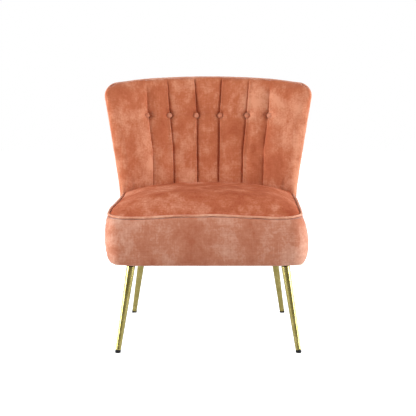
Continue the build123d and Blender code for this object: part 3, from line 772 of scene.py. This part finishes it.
def backRelief(x, z, edge):
    # how far the pad stands proud of the plain face, and how far sideways its folds lean
    away = pleatSides[:, None, None] * (x - pleatAt(z))
    strength = pleatStrengthAt(z) * smoothStep(-0.004, 0.016, edge)
    proud = (np.interp(away, pleats["offsets"], pleats["relief"]) * strength).sum(0)
    lean = np.interp(away, pleats["offsets"], pleats["overhang"])
    lean = (lean * strength * -pleatSides[:, None, None]).sum(0)
    half = backShape["halfAtSeat"] + np.maximum(z - backShape["flareLevel"], 0.0) * 0.166
    borders = np.concatenate([-half[None], pleatAt(z), half[None]])
    share = np.clip((x - borders[:-1]) / (borders[1:] - borders[:-1]), 0.0, 1.0)
    puff = 0.0
    proud += (np.sqrt(4 * share * (1 - share)) * puff).sum(0) * smoothStep(0.0, 0.03, edge)
    level = buttons["level"]
    across = x - buttons["offsets"][:, None, None]
    distance = np.hypot(across, z - level)
    angle = np.arctan2(z - level, across)
    proud -= (bell(distance, buttons["reach"]) * buttons["depth"]).sum(0)
    proud += (np.sin(angle * 7.0) * bell(distance - 0.014, 0.008) * 0.0008).sum(0)
    proud -= (bell(distance - 0.0098, 0.0028) * 0.0035).sum(0)
    along = smoothStep(0.215, 0.185, np.abs(x))
    proud -= bell(z - level + 0.006, 0.012) * 0.0030 * along
    proud += bell(z - level - 0.022, 0.014) * 0.0012 * along
    # drag lines that run from button to button
    for below, depth in ((0.006, 0.0007), (0.015, 0.0009), (0.027, 0.0006)):
        line = level - below - 0.003 * np.sin(x * 41.0 + below * 300.0)
        proud -= bell(z - line, 0.0022) * depth * along * (0.6 + 0.4 * np.sin(x * 57.0 + below * 900.0))
    proud += softNoise(x, z * 0.45, 0.060, 11) * 0.0005
    return proud, lean


def backColumnsKept(count):
    # every second panel column, each pleat line and a column either side of it
    block = pleats["panelColumns"] + len(pleats["offsets"])
    centre = list(pleats["offsets"]).index(0.0)
    mirrored = len(pleats["offsets"]) - 1 - centre
    kept = {0, count - 1}
    for number, side in enumerate(pleatSides):
        first = 1 + number * block
        kept.update(range(first, first + pleats["panelColumns"], 2))
        line = first + pleats["panelColumns"] + (centre if side > 0 else mirrored)
        kept.update((line - 5, line, line + 5))
    kept.update(range(count - 1 - pleats["panelColumns"], count - 1, 2))
    return np.array(sorted(kept))


def backHold(x, z):
    # 1 where the cover is sewn down: along each pleat, at the buttons and along the foot
    line = bell((x - pleatAt(z)) / 0.004, 1.0) * pleatStrengths[:, None, None] ** 0.5
    button = bell(np.hypot(x - buttons["offsets"][:, None, None], z - buttons["level"]), 0.008)
    foot = z < backShape["openingLevel"] + 0.004
    return np.clip(line.max(0) + button.max(0) + foot, 0.0, 1.0)


backRings = [28, 24, 20.5, 17.5, 15, 12.7, 10.6, 8.6, 6.7, 5, 3.5, 2.2, 1.1, 0.35, 0, 0, 0, 0]
backRings = np.array(backRings) / 1000
rim = dict(width=0.015, depth=0.013, sideRows=97)
keptRings = [0, 3, 6, 9, 12, 14]
def backPadPiece():
    s = backShape
    outline, turnAt = backOutline(s["openingLevel"])
    outline = outline - outwardNormals(outline) * 0.0008

    def footAt(a):
        return s["openingLevel"] - 0.057 * smoothStep(0.238, 0.226, a)

    ringX, ringZ, fieldX, fieldZ = padGrid(outline, turnAt, rim["sideRows"], backColumns, backRings, footAt)
    # the rim rolls over as a quarter ellipse and then runs straight back to the shell
    roll = np.clip(1.0 - backRings / rim["width"], 0.0, 1.0)
    depth = rim["depth"] * (1.0 - np.sqrt(1.0 - roll**2))
    depth[-4:] = np.linspace(rim["depth"], s["padDepth"], 4)
    depth = depth[:, None]
    proud, lean = backRelief(ringX, ringZ, backRings[:, None] + 0 * ringX)
    settle = smoothStep(s["padDepth"], rim["depth"] * 0.6, depth)
    ringY = frontLayer(ringX, ringZ, depth - proud * settle)
    frontRings = np.stack([ringX + lean * settle, ringY, ringZ], -1)
    proud, lean = backRelief(fieldX, fieldZ, 0 * fieldX + 0.03)
    frontField = np.stack([fieldX + lean, frontLayer(fieldX, fieldZ, -proud), fieldZ], -1)
    plainRings = np.stack([ringX, frontLayer(ringX, ringZ, depth), ringZ], -1)
    plainField = np.stack([fieldX, frontLayer(fieldX, fieldZ, 0.0), fieldZ], -1)
    ringMoved, fieldMoved = swellCover(
        "backCoverSheet",
        plainRings,
        plainField,
        (keptRings, np.arange(0, rim["sideRows"], 2), backColumnsKept(fieldX.shape[1])),
        (backHold(fieldX, fieldZ), backHold(ringX, ringZ) + (backRings[:, None] < 0.0004)),
        pleats["swelling"],
    )
    frontRings += ringMoved * settle[..., None]
    frontField += fieldMoved
    rearSteps = np.linspace(backRings[0], 0.0, len(backRings))
    rearX, rearZ, _, _ = padGrid(outline, turnAt, rim["sideRows"], backColumns, rearSteps, footAt)
    rearRings = np.stack([rearX, frontLayer(rearX, rearZ, s["padDepth"]), rearZ], -1)
    rearField = np.stack([fieldX, frontLayer(fieldX, fieldZ, s["padDepth"]), fieldZ], -1)
    piece = closedPad("backPad", frontRings, frontField, rearRings, rearField)
    finishPiece(piece, velvet, ["back_inner_cover", "back_foam"])


backPadPiece()
print("back pad made")


def tubeAlong(name, path, radius, outward, sides=14, ends=4):
    # circle of the radius carried along the path; outward is one direction across the path, and
    # the ends close as half balls
    tangent = unitTangents(path)
    first = outward - (outward * tangent).sum(1, keepdims=True) * tangent
    first /= np.linalg.norm(first, axis=1, keepdims=True)
    second = np.cross(tangent, first)
    turn = np.linspace(0.0, 2 * np.pi, sides + 1)
    ring = np.cos(turn)[None, :, None] * first[:, None] + np.sin(turn)[None, :, None] * second[:, None]
    radius = np.broadcast_to(radius, len(path))[:, None, None]
    body = path[:, None] + ring * radius
    lift = np.linspace(np.pi / 2, 0.0, ends)[:, None, None]
    fall = lift[::-1]
    startCap = path[0] + ring[:1] * radius[0] * np.cos(lift) - tangent[0] * radius[0] * np.sin(lift)
    endCap = path[-1] + ring[-1:] * radius[-1] * np.cos(fall) + tangent[-1] * radius[-1] * np.sin(fall)
    return meshFrom(name, [np.concatenate([startCap[:-1], body, endCap[1:]])])


def evenPath(points, spacing):
    # the same line with points an even distance apart
    length = runLength(points)
    at = np.linspace(0.0, length[-1], max(8, int(length[-1] / spacing)))
    return np.stack([np.interp(at, length, points[:, k]) for k in range(points.shape[1])], -1), at
welts = dict(
    backRadius=0.0028,
    backSunk=0.0285,
    backInset=-0.0002,
    seatRadius=0.0034,
    seatProud=0.0003,
    unevenness=0.00018,
    spacing=0.003,
)


def backWeltPiece():
    outline, _ = backOutline(undersideZ + 0.004)
    outward = outwardNormals(outline)
    line = outline - outward * welts["backInset"]
    both, at = evenPath(np.concatenate([bothSides(line), bothSides(outward)], -1), welts["spacing"])
    x, z = both[:, 0], both[:, 1]
    path = np.stack([x, frontLayer(x, z, welts["backSunk"]), z], -1)
    across = np.stack([both[:, 2], 0 * x, both[:, 3]], -1)
    uneven = softNoise(at, at * 0, 0.022, 5) * welts["unevenness"]
    piece = tubeAlong("backWelt", path, welts["backRadius"] + uneven, across)
    finishPiece(piece, paintedHighlightWeltVelvet, ["back_welt"])


backWeltPiece()
print("back welt made")
outer = dict(
    edge=0.0052,
    wallRows=16,
    seamInset=0.0125,
    thickness=0.002,
    hemRadius=0.005,
    hemDepth=0.018,
    flatInsets=[0.028, 0.024, 0.020, 0.017, 0.0145, 0.012],
)

def outerCoverPiece():
    s = backShape
    foot = undersideZ + outer["hemRadius"]
    outline, turnAt = backOutline(foot)
    outline = outline - outwardNormals(outline) * 0.0006
    turn = np.linspace(0.0, np.pi / 2, 7)
    edge = outer["edge"]
    flat, rows = outer["flatInsets"], outer["wallRows"]
    inset = np.concatenate([flat, edge * (1 - np.cos(turn[::-1])), np.zeros(rows)])
    sunk = np.concatenate([np.zeros(len(flat)), edge * (1 - np.sin(turn[::-1])), np.full(rows, edge)])
    wall = np.concatenate([np.zeros(len(flat) + len(turn)), np.linspace(0.0, 1.0, rows + 1)[1:]])

    def footAt(a):
        return foot + 0 * a

    ringX, ringZ, fieldX, fieldZ = padGrid(outline, turnAt, 110, evenColumns(81), inset, footAt)

    def relief(x, z, depth):
        # the cloth draws in slightly between the ribs and at the sewn seam
        full = 0.0022 + softNoise(x, z, 0.14, 21) * 0.0006 + softNoise(x * 2.2, z, 0.05, 22) * 0.0002
        full -= 0.0010 * (bell(np.abs(x) - 0.11, 0.03) + bell(z - 0.745, 0.02))
        return full * smoothStep(0.0, 0.03, depth) + 0.0005

    shareSunk = np.broadcast_to(sunk[:, None], ringX.shape)
    seam = bell(inset[:, None] - outer["seamInset"], 0.0022) * 0.0012
    inward = inset[:, None] * (wall[:, None] == 0)
    rearY = rearLayer(ringX, ringZ, shareSunk + seam) + relief(ringX, ringZ, inward)
    frontY = frontLayer(ringX, ringZ, s["padDepth"] + 0.0045)
    rings = np.stack([ringX, rearY * (1 - wall[:, None]) + frontY * wall[:, None], ringZ], -1)
    fieldY = rearLayer(fieldX, fieldZ, 0.0) + relief(fieldX, fieldZ, 0.03)
    field = np.stack([fieldX, fieldY, fieldZ], -1)
    # the hem turns in under the frame all round the foot
    footLine = footOf(rings, field)
    tangent = unitTangents(footLine[:, :2])
    inward = np.stack([tangent[:, 1], -tangent[:, 0]], -1)
    turn = np.linspace(0.0, np.pi / 2, 6)
    radius = outer["hemRadius"]
    reach = np.concatenate([radius * (1 - np.cos(turn)), radius + np.array([0.006, outer["hemDepth"]])])
    drop = np.concatenate([radius * np.sin(turn), np.full(2, radius)])
    middle = np.sign((inward * -footLine[:, :2]).sum(1).mean())
    hem = np.empty((len(reach), len(footLine), 3))
    hem[..., :2] = footLine[:, :2] + inward * middle * reach[:, None, None]
    hem[..., 2] = footLine[:, 2] - drop[:, None]
    piece = meshFrom("backOuterCover", [rings, field, hem], merge=1e-4)
    area = clothOn(piece, outer["thickness"], -1.0)
    finishPiece(piece, outerVelvet, ["back_outer_cover", "rear_corner_padding"])


outerCoverPiece()
print("outer cover made")

seatShape = dict(
    half=0.2620,
    cornerRadius=0.048,
    weltFront=0.386,
    weltRise=0.045,
    frontDroop=0.0035,
    sideDroop=0.0065,
    edgeRoll=0.0092,
    edgeWidth=0.012,
    sideSlope=0.185,
    frontSlope=0.165,
    crownZ=0.4365,
    crease=0.010,
    tuck=0.015,
    sideRows=85,
    columns=109,
    faceZ=0.425,
    clearance=0.001,
    pulledAside=0.0095,
    swelling=dict(
        facesDown=True,
        pressure=4.0,
        mass=0.3,
        stiffness=22.0,
        shear=10.0,
        bending=0.8,
        slack=0.006,
        frames=20,
        cap=0.006,
    ),
)
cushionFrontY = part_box("seat_top_cover")[0].y - 0.0015


def weltLevel(x, y):
    # rises evenly to the rear; the front run hangs a little, most towards its two ends
    rise = seatShape["weltFront"] + (y - seatFrontY) * seatShape["weltRise"]
    ahead = smoothStep(seatFrontY + 0.125, seatFrontY + 0.02, y)
    ends = smoothStep(0.03, 0.20, np.abs(x)) - 0.35 * smoothStep(0.21, 0.26, np.abs(x))
    return rise - ahead * (seatShape["frontDroop"] + seatShape["sideDroop"] * ends)


def seatShift(x, y, z):
    # the upholstery of the seat was pulled a little to one side: nothing at the rear, most at the
    # level of the front piping, a quarter of that along the underside
    byLevel = np.interp(z, [0.245, 0.31, 0.375, 0.400], [0.25, 0.5, 0.95, 1.0])
    return x - seatShape["pulledAside"] * smoothStep(0.06, seatFrontY + 0.03, y) * byLevel

def seatOutline(half, frontY, corner, rearY):
    # right half of the seat seen from above, from the rear to the middle of the front: a straight
    # side, a round corner and a straight front; the second number grows towards the front
    b = np.linspace(-rearY, -frontY - corner, 160)[:-1]
    side = np.stack([np.full(len(b), half), b], -1)
    turn = np.linspace(0.0, np.pi / 2, 90)[:, None]
    centre = np.array([half - corner, -frontY - corner])
    bend = centre + corner * np.concatenate([np.cos(turn), np.sin(turn)], -1)
    a = np.linspace(half - corner, 0.0, 160)[1:]
    front = np.stack([a, np.full(len(a), -frontY)], -1)
    return np.concatenate([side, bend, front]), len(side) + len(turn) // 2


def seatCushionPiece():
    s = seatShape
    faceZ = s["faceZ"]

    def footAt(a):
        return -frontLayer(a, faceZ, -s["clearance"])

    sideRearB = -footAt(np.array([s["half"]]))[0]
    outline, turnAt = seatOutline(s["half"], cushionFrontY - 0.0005, s["cornerRadius"], sideRearB)
    rings = [30, 26, 22, 18.5, 15.5, 12.8, 10.4, 8.2, 6.3, 4.6, 3.2, 2.0, 1.0, 0.3, 0, 0, 0, 0]
    rings = np.array(rings) / 1000
    below = np.concatenate([np.zeros(15), np.linspace(0.0, s["tuck"], 4)[1:]])[:, None]
    columnsAt = evenColumns(s["columns"])
    ringX, ringB, fieldX, fieldB = padGrid(outline, turnAt, s["sideRows"], columnsAt, rings, footAt)

    def topAt(x, b, inset):
        # a short round roll beside the welt, then a broad crown that falls away as a parabola
        # towards the sides and the front, and a crease along the back
        y = -b
        seam = weltLevel(x, y) - 0.0015
        rearGap = frontLayer(x, faceZ, 0.0) - y
        sideShare = np.clip((s["half"] - np.abs(x)) / s["sideSlope"], 0.0, 1.0)
        frontShare = np.clip((y - cushionFrontY) / s["frontSlope"], 0.0, 1.0)
        crown = (1.0 - (1.0 - sideShare) ** 2) * (1.0 - (1.0 - frontShare) ** 2)
        roll = np.sqrt(np.maximum(1.0 - np.clip(1.0 - inset / s["edgeWidth"], 0.0, 1.0) ** 2, 0.0))
        height = s["edgeRoll"] * roll + (s["crownZ"] - seam - s["edgeRoll"]) * crown
        crease = s["crease"] * np.exp(-np.maximum(rearGap, 0.0) / 0.010)
        wrinkle = bell(rearGap - 0.030 - 0.005 * np.sin(x * 21.0), 0.006)
        wrinkle = wrinkle * (0.6 + 0.4 * softNoise(x, x * 0, 0.12, 31))
        wrinkle = wrinkle * (0.0014 + 0.0022 * bell(x + 0.15, 0.07))
        slant = bell(rearGap - 0.062 + 0.22 * (np.abs(x) - 0.10), 0.007) * bell(np.abs(x) - 0.145, 0.06)
        wrinkle = wrinkle + slant * np.where(x < 0, 0.0020, 0.0012)
        drag = softNoise(x, y, 0.11, 32) * 0.0008 + softNoise(x, y * 2.0, 0.045, 33) * 0.0003
        inner = smoothStep(0.0, 0.03, inset)
        return seam + height - (crease + wrinkle - drag) * inner * smoothStep(0.0, 0.2, sideShare)

    def toSpace(x, b, inset, drop=0.0):
        return np.stack([x, -b, topAt(x, b, inset) - drop], -1)

    frontRings = toSpace(ringX, ringB, rings[:, None], below)
    frontField = toSpace(fieldX, fieldB, 0.03)

    def rearHold(x, b):
        # the cushion is drawn down where it meets the back
        return bell(frontLayer(x, faceZ, 0.0) + b, 0.012)

    ringMoved, fieldMoved = swellCover(
        "seatCoverSheet",
        frontRings,
        frontField,
        (keptRings, np.arange(0, s["sideRows"], 2), np.arange(0, s["columns"], 2)),
        (rearHold(fieldX, fieldB), rearHold(ringX, ringB) + (rings[:, None] < 0.0035)),
        s["swelling"],
    )
    frontRings += ringMoved * (below[..., None] == 0)
    frontField += fieldMoved
    steps = np.linspace(rings[0], 0.0, len(rings))
    rearX, rearB, _, _ = padGrid(outline, turnAt, s["sideRows"], columnsAt, steps, footAt)
    rearRings = np.stack([rearX, -rearB, weltLevel(rearX, -rearB) + 0.001 - s["tuck"]], -1)
    rearField = np.stack([fieldX, -fieldB, weltLevel(fieldX, -fieldB) + 0.001 - s["tuck"]], -1)
    for block in (frontRings, frontField, rearRings, rearField):
        block[..., 0] = seatShift(block[..., 0], block[..., 1], block[..., 2])
    piece = closedPad("seatCushion", frontRings, frontField, rearRings, rearField)
    finishPiece(piece, seatVelvetPaintedShade, ["seat_top_cover", "seat_foam"])


seatCushionPiece()
print("seat cushion made")

border = dict(
    half=0.2780,
    corner=0.046,
    frontPoints=200,
    sidePoints=70,
    cornerLift=0.004,
    creviceDrop=0.0016,
    outward=[-24, -15, -12, -10.2, -8.2, -6, -3.6, -1.3, 0.9, 1.5, 1, -0.4, -2.6, -5.5, -9, -12.5, -17],
    up=[1, 1, 1, 0.985, 0.955, 0.905, 0.84, 0.75, 0.60, 0.50, 0.39, 0.28, 0.195, 0.12, 0.065, 0.022, 0],
)


def borderPiece():
    # closed section, out from the frame and up from the underside, carried round the seat box
    outward = np.array(border["outward"] + [-25, -25, -25]) / 1000
    up = np.array(border["up"] + [0, 0.35, 0.70])
    fine = np.linspace(0.0, 17.0, 60)
    outward = np.concatenate([np.interp(fine, np.arange(18), outward[:18]), outward[18:], outward[:1]])
    up = np.concatenate([np.interp(fine, np.arange(18), up[:18]), up[18:], up[:1]])
    corner = border["corner"]
    side = np.linspace(0.0, 1.0, border["sidePoints"])
    # plan path: from the left rear end forwards, round the front and back along the right
    turn = np.linspace(0.0, np.pi / 2, 40)
    cornerX = border["half"] - corner
    cornerY = seatFrontY + corner
    frontX = np.linspace(-cornerX, cornerX, border["frontPoints"])[1:-1]
    pathX = np.concatenate([-cornerX - corner * np.cos(turn), frontX, cornerX + corner * np.sin(turn)])
    straight = np.full(len(frontX), seatFrontY)
    pathY = np.concatenate([cornerY - corner * np.sin(turn), straight, cornerY - corner * np.cos(turn)])
    normalX = np.concatenate([-np.cos(turn), 0 * frontX, np.sin(turn)])
    normalY = np.concatenate([-np.sin(turn), 0 * frontX - 1.0, -np.cos(turn)])

    def lift(x, y, upShare):
        crevice = border["creviceDrop"] * smoothStep(seatFrontY + 0.07, seatFrontY + 0.03, y)
        top = weltLevel(x, y) - 0.0005 - crevice
        lifted = smoothStep(0.19, 0.27, np.abs(x)) * smoothStep(seatFrontY + 0.12, seatFrontY, y)
        low = undersideZ + border["cornerLift"] * lifted
        return low + upShare * (top - low)

    x = pathX[:, None] + normalX[:, None] * outward
    y = pathY[:, None] + normalY[:, None] * outward
    front = np.stack([x, y, lift(x, y, up)], -1)
    rearGuess = np.full(len(outward), 0.10)
    sideX = border["half"] + outward
    for _ in range(8):
        rearZ = lift(sideX, rearGuess, up)
        rearGuess = frontLayer(sideX, rearZ, backShape["padDepth"] - 0.0006)
    sideY = cornerY + side[:, None] * (rearGuess - cornerY)
    right = np.stack([np.broadcast_to(sideX, sideY.shape), sideY, lift(sideX, sideY, up)], -1)
    left = right * [-1, 1, 1]
    band = np.concatenate([left[::-1][:-1], front, right[1:]])
    # drag lines and the fullness between the tacks underneath
    along = runLength(band[:, 30, :2])[:, None]
    height = np.broadcast_to(up, band.shape[:2])
    along = np.broadcast_to(along, height.shape)
    shown = smoothStep(-0.018, -0.006, np.broadcast_to(outward, height.shape))
    waves = softNoise(along, height * 0.10, 0.16, 41) * 0.0009
    waves = waves + softNoise(along, height * 0.35, 0.05, 42) * 0.00035
    wander = softNoise(along, along * 0, 0.2, 43)
    tacks = np.sin(along * 2 * np.pi / 0.052 + wander) * 0.0006 * smoothStep(0.25, 0.02, height)
    push = (waves + tacks) * shown * smoothStep(0.98, 0.85, height)
    normal = np.concatenate(
        [
            np.broadcast_to([-1.0, 0.0], (len(left) - 1, 2)),
            np.stack([normalX, normalY], -1),
            np.broadcast_to([1.0, 0.0], (len(right) - 1, 2)),
        ]
    )
    band[..., :2] += normal[:, None] * push[..., None]
    band[..., 0] = seatShift(band[..., 0], band[..., 1], band[..., 2])
    share = np.linspace(0.0, 1.0, 5)[:, None, None]
    startCap = band[0].mean(0) * (1 - share) + band[0] * share
    endCap = band[-1].mean(0) * share + band[-1] * (1 - share)
    piece = meshFrom("seatBorder", [np.concatenate([startCap[:-1], band, endCap[1:]])])
    finishPiece(piece, borderVelvetPaintedSheen, ["seat_border_cover", "seat_border_padding"])


borderPiece()
print("seat border made")


def seatWeltPiece():
    radius = welts["seatRadius"]
    half = seatShape["half"] + radius + welts["seatProud"]
    frontY = cushionFrontY - radius - welts["seatProud"]
    rearY = 0.1
    for _ in range(6):
        rearY = float(frontLayer(np.array(half), weltLevel(half, rearY) + radius, -0.0035))
    outline, _ = seatOutline(half, frontY, seatShape["cornerRadius"] + radius, rearY)
    normal = outwardNormals(outline)
    both, at = evenPath(np.concatenate([bothSides(outline), bothSides(normal)], -1), welts["spacing"])
    x, y = both[:, 0], -both[:, 1]
    wander = softNoise(at, at * 0, 0.09, 6) * 0.0005
    z = weltLevel(x, y) + radius + wander - 0.0012
    path = np.stack([seatShift(x, y, z), y, z], -1)
    outwardOf = np.stack([both[:, 2], -both[:, 3], 0 * x], -1)
    uneven = softNoise(at, at * 0, 0.020, 7) * welts["unevenness"]
    piece = tubeAlong("seatWelt", path, radius + uneven, outwardOf)
    finishPiece(piece, paintedHighlightWeltVelvet, ["seat_welt"])


seatWeltPiece()
print("seat welt made")


def latheAround(origin, axis, distances, radii, sides=40, wobble=None):
    # a profile of distances along the axis and radii, turned round it
    axis = np.array(axis, float) / np.linalg.norm(axis)
    guide = np.array([1.0, 0.0, 0.0]) if abs(axis[0]) < 0.8 else np.array([0.0, 1.0, 0.0])
    first = np.cross(axis, guide)
    first /= np.linalg.norm(first)
    second = np.cross(axis, first)
    turn = np.linspace(0.0, 2 * np.pi, sides + 1)
    ring = np.cos(turn)[None, :, None] * first + np.sin(turn)[None, :, None] * second
    radii = np.asarray(radii)[:, None] * np.ones(sides + 1)
    distances = np.asarray(distances)[:, None] * np.ones(sides + 1)
    if wobble is not None:
        radii, distances = wobble(radii, distances, turn[None, :])
    return np.array(origin) + ring * radii[..., None] + axis * distances[..., None]


coveredButton = dict(radius=0.0085, rim=0.0034, dome=0.0034, seat=-0.0088)


def buttonPiece(number, x):
    s = backShape
    z = buttons["level"]
    run = math.sqrt(s["frontRadius"] ** 2 - x**2)
    lean = math.atan(s["frontLean"])
    facing = np.array([-x, -run * math.cos(lean), run * math.sin(lean)])
    facing /= np.linalg.norm(facing)
    centre = np.array([x, float(frontLayer(np.array(x), z, 0.0)), z])
    c = coveredButton
    rise = np.linspace(0.0, np.pi / 2, 12)
    radii = np.concatenate([[0.0, 0.5, 0.85, 1.0, 1.02], np.cos(rise) ** 0.9]) * c["radius"]
    domeHeights = c["rim"] + c["dome"] * np.sin(rise)
    heights = np.concatenate([[0.0, 0.0, 0.0004, 0.0014, c["rim"] * 0.7], domeHeights])
    radii[-1] = 0.0

    def gathers(radius, height, turn):
        # small folds where the cloth is gathered under the rim
        edge = smoothStep(0.55, 1.0, radius / c["radius"])
        radius = radius + np.cos(turn * 13 + x * 40) * 0.00022 * edge
        return radius, height + np.sin(turn * 3 + number) * 0.0002 * edge

    block = latheAround(centre + facing * c["seat"], facing, heights, radii, wobble=gathers)
    piece = meshFrom(f"coveredButton{number}", [block])
    finishPiece(piece, buttonVelvetPaintedHighlight, [f"back_button_{number}"])


for number, x in enumerate(buttons["offsets"], 1):
    buttonPiece(number, float(x))
print("buttons made")

legs = dict(
    frontFoot=(0.251, -0.265),
    rearFoot=(0.246, 0.245),
    frontTop=(0.214, -0.229),
    rearTop=(0.206, 0.160),
    topLevel=0.244,
    topRadius=0.012,
    bottomRadius=0.0075,
    glideRadius=0.0080,
    glideHeight=0.008,
)


def legPieces(end, hand, side, foot, top):
    name, nodeEnd = end + hand, f"{end}_{hand}".lower()
    start = np.array([side * foot[0], foot[1], 0.0])
    end = np.array([side * top[0], top[1], legs["topLevel"]])
    length = float(np.linalg.norm(end - start))
    axis = (end - start) / length
    low, high = legs["glideHeight"], length
    taper = np.linspace(0.0, 1.0, 24)
    distances = low + (high - low) * taper
    radii = legs["bottomRadius"] + (legs["topRadius"] - legs["bottomRadius"]) * taper
    # a rolled lip at the foot, closed ends
    lip = [low + 0.0006, low, low, low + 0.0006, low + 0.0016, low + 0.003]
    distances = np.concatenate([lip, distances[1:], [high, high]])
    radii = np.concatenate([[0.0, 0.0045, 0.0070, 0.0077, 0.0079, 0.0077], radii[1:], [0.0095, 0.0]])
    piece = meshFrom("brassLeg" + name, [latheAround(start, axis, distances, radii, 48)])
    finishPiece(piece, brass, ["leg_" + nodeEnd])
    g = legs["glideRadius"]
    heights = [0.0, 0.0, 0.0, 0.0004, 0.0012, 0.0045, 0.0068, 0.0076, 0.0079, 0.0079]
    radii = [0.0, g * 0.5, g * 0.86, g * 0.95, g * 0.99, g * 1.0, g * 0.985, g * 0.95, g * 0.8, 0.0]
    # the glide's underside lies level on the floor, so its lower rings are cut at z = 0
    block = latheAround(start, axis, heights, radii, 40)
    block[..., 2] = np.maximum(block[..., 2], 0.0)
    block[:3, :, 2] = 0.0
    piece = meshFrom("footGlide" + name, [block])
    finishPiece(piece, nylon, ["foot_glide_" + nodeEnd])
for end in ("Front", "Rear"):
    for hand, side in (("Left", 1), ("Right", -1)):
        legPieces(end, hand, side, legs[end.lower() + "Foot"], legs[end.lower() + "Top"])
print("legs and glides made")
dust = dict(half=0.2545, frontInset=0.004, corner=0.030, sag=0.0022, thickness=0.0010)


def dustCoverPiece():
    low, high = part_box("dust_cover")
    across = np.linspace(-1.0, 1.0, 90)
    ahead = np.linspace(0.0, 1.0, 90)
    u, v = np.meshgrid(across, ahead)
    frontY = low.y + dust["frontInset"]
    corner = dust["corner"]
    # the front corners are rounded by drawing the sides in near the front
    rearY = np.minimum(high.y, rearLayer(u * dust["half"], undersideZ, 0.008))
    y = frontY + v * (rearY - frontY)
    close = np.clip(1.0 - (y - frontY) / corner, 0.0, 1.0)
    half = dust["half"] - corner * (1.0 - np.sqrt(np.maximum(1.0 - close**2, 0.0)))
    x = u * half
    edge = np.minimum(np.minimum(v, 1 - v) * 0.5, (1 - np.abs(u)) * 0.26)
    sag = dust["sag"] * (1 - np.exp(-edge / 0.06))
    sag += softNoise(x, y, 0.12, 51) * 0.0009 * smoothStep(0, 0.05, edge)
    z = low.z - 0.0002 - sag
    piece = meshFrom("dustCover", [np.stack([x, y, z], -1)], closed=False)
    area = clothOn(piece, dust["thickness"], 1.0)
    finishPiece(piece, dustCloth, ["dust_cover"])


dustCoverPiece()
print("dust cover made")

steelParts = ["seat_spring", "spring_clip", "back_bolt", "barrel_nuts", "leg_plate", "leg_studs"]
innerFinishes = {
    timberAcross: ["seat_front_rail", "seat_rear_rail", "back_top_batten"],
    timberAlong: ["seat_left_rail", "seat_right_rail", "corner_block"],
    timberUpright: ["back_rib", "back_stile"],
    plywood: ["back_shell"],
    fibreboard: ["back_lining_board"],
    felt: ["spring_deck_felt"],
    twine: ["button_twines"],
    zinc: steelParts + ["dust_cover_staples", "button_anchors"],
}
for finish, starts in innerFinishes.items():
    for name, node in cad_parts.items():
        if name.startswith(tuple(starts)):
            node.data.materials.clear()
            node.data.materials.append(finish)
print("inner parts finished")

floorMaterial, floorTree, floorShader, _ = newMaterial("paleFloor")
floorSeen = floorTree.nodes.new("ShaderNodeLightPath").outputs["Is Camera Ray"]
# the floor is bright to look at, but throws back only part of the light
floorLight = rangeNode(floorTree, floorSeen, studio["floorBounce"], studio["floorGlow"], 0.0, 1.0)
floorValues = {
    "Roughness": 0.9,
    "Specular IOR Level": 0.1,
    "Emission Color": white,
    "Emission Strength": floorLight,
    "Base Color": rangeNode(floorTree, floorSeen, studio["floorShade"], 0.93, 0.0, 1.0),
}
feed(floorTree, floorShader, floorValues)
half = studio["floorSize"] / 2
corners = np.array([[[-half, -half, 0.0], [half, -half, 0.0]], [[-half, half, 0.0], [half, half, 0.0]]])
floor = meshFrom("studioFloor", [corners], closed=False)
floor.data.materials.append(floorMaterial)
